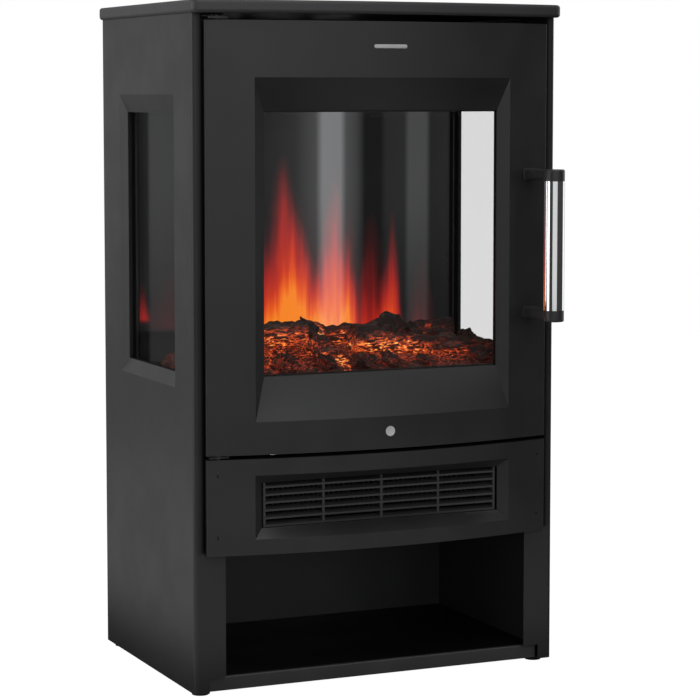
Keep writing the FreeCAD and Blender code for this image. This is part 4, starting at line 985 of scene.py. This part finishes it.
def lay_floor(settings):
    deselect_all()
    bpy.ops.mesh.primitive_plane_add(size=16.0, location=(0, 0, 0))
    floor = bpy.context.object
    floor.name = "stage_floor"
    paint = Finish("stage_floor")
    mottled(paint, tuple(settings.floor_colour), 0.9, 0.5, swing=0.01, gloss_swing=0.02)
    paint.set(Emission_Color=(1, 1, 1, 1), Emission_Strength=1.0)
    floor.data.materials.append(paint.material)
    floor.visible_glossy = False
    floor.visible_diffuse = False


def place_camera(scene, settings):
    camera_data = bpy.data.cameras.new("camera")
    camera = bpy.data.objects.new("camera", camera_data)
    scene.collection.objects.link(camera)
    camera_data.sensor_width = 36.0
    camera_data.lens = settings.focal_length
    camera_data.shift_y = CAMERA_SHIFT
    camera.location = CAMERA_PLACE
    camera.rotation_euler = (math.radians(90.0 - CAMERA_TILT), 0.0, math.radians(-CAMERA_TURN))
    scene.camera = camera


class FIREPLACE_PT_panel(bpy.types.Panel):
    """Lists the steps that finish the fireplace"""
    bl_idname = "FIREPLACE_PT_panel"
    bl_label = "Electric fireplace"
    bl_space_type = "VIEW_3D"
    bl_region_type = "UI"
    bl_category = "Fireplace"

    def draw(self, context):
        for settings, steps in PANEL_ROWS:
            group = getattr(context.scene, settings)
            for prop in group.bl_rna.properties:
                if prop.identifier not in ("name", "rna_type"):
                    self.layout.prop(group, prop.identifier)
            for step in steps:
                self.layout.operator(step.bl_idname)


SETTINGS = {
    "fireplace_casing": CasingSettings,
    "fireplace_glass": GlassSettings,
    "fireplace_fire": FireSettings,
    "fireplace_trim": TrimSettings,
    "fireplace_stage": StageSettings,
}
PANEL_ROWS = (
    ("fireplace_casing", (FIREPLACE_OT_coat_casing, FIREPLACE_OT_finish_fittings)),
    ("fireplace_glass", (FIREPLACE_OT_glaze_panes,)),
    ("fireplace_fire", (FIREPLACE_OT_light_flames, FIREPLACE_OT_lay_fuel)),
    ("fireplace_trim", (FIREPLACE_OT_polish_handle, FIREPLACE_OT_fit_marks)),
    ("fireplace_stage", (FIREPLACE_OT_set_stage,)),
)


def register():
    for name, settings in SETTINGS.items():
        bpy.utils.register_class(settings)
        setattr(bpy.types.Scene, name, bpy.props.PointerProperty(type=settings))
    for _, steps in PANEL_ROWS:
        for step in steps:
            bpy.utils.register_class(step)
    bpy.utils.register_class(FIREPLACE_PT_panel)


def unregister():
    bpy.utils.unregister_class(FIREPLACE_PT_panel)
    for _, steps in PANEL_ROWS:
        for step in steps:
            bpy.utils.unregister_class(step)
    for name, settings in SETTINGS.items():
        delattr(bpy.types.Scene, name)
        bpy.utils.unregister_class(settings)


def main():
    register()
    deselect_all()
    bpy.ops.fireplace.coat_casing()
    bpy.ops.fireplace.finish_fittings()
    bpy.ops.fireplace.glaze_panes()
    bpy.ops.fireplace.polish_handle()
    bpy.ops.fireplace.light_flames()
    bpy.ops.fireplace.lay_fuel()
    bpy.ops.fireplace.fit_marks()
    bpy.ops.fireplace.set_stage()


if __name__ == "__main__":
    main()
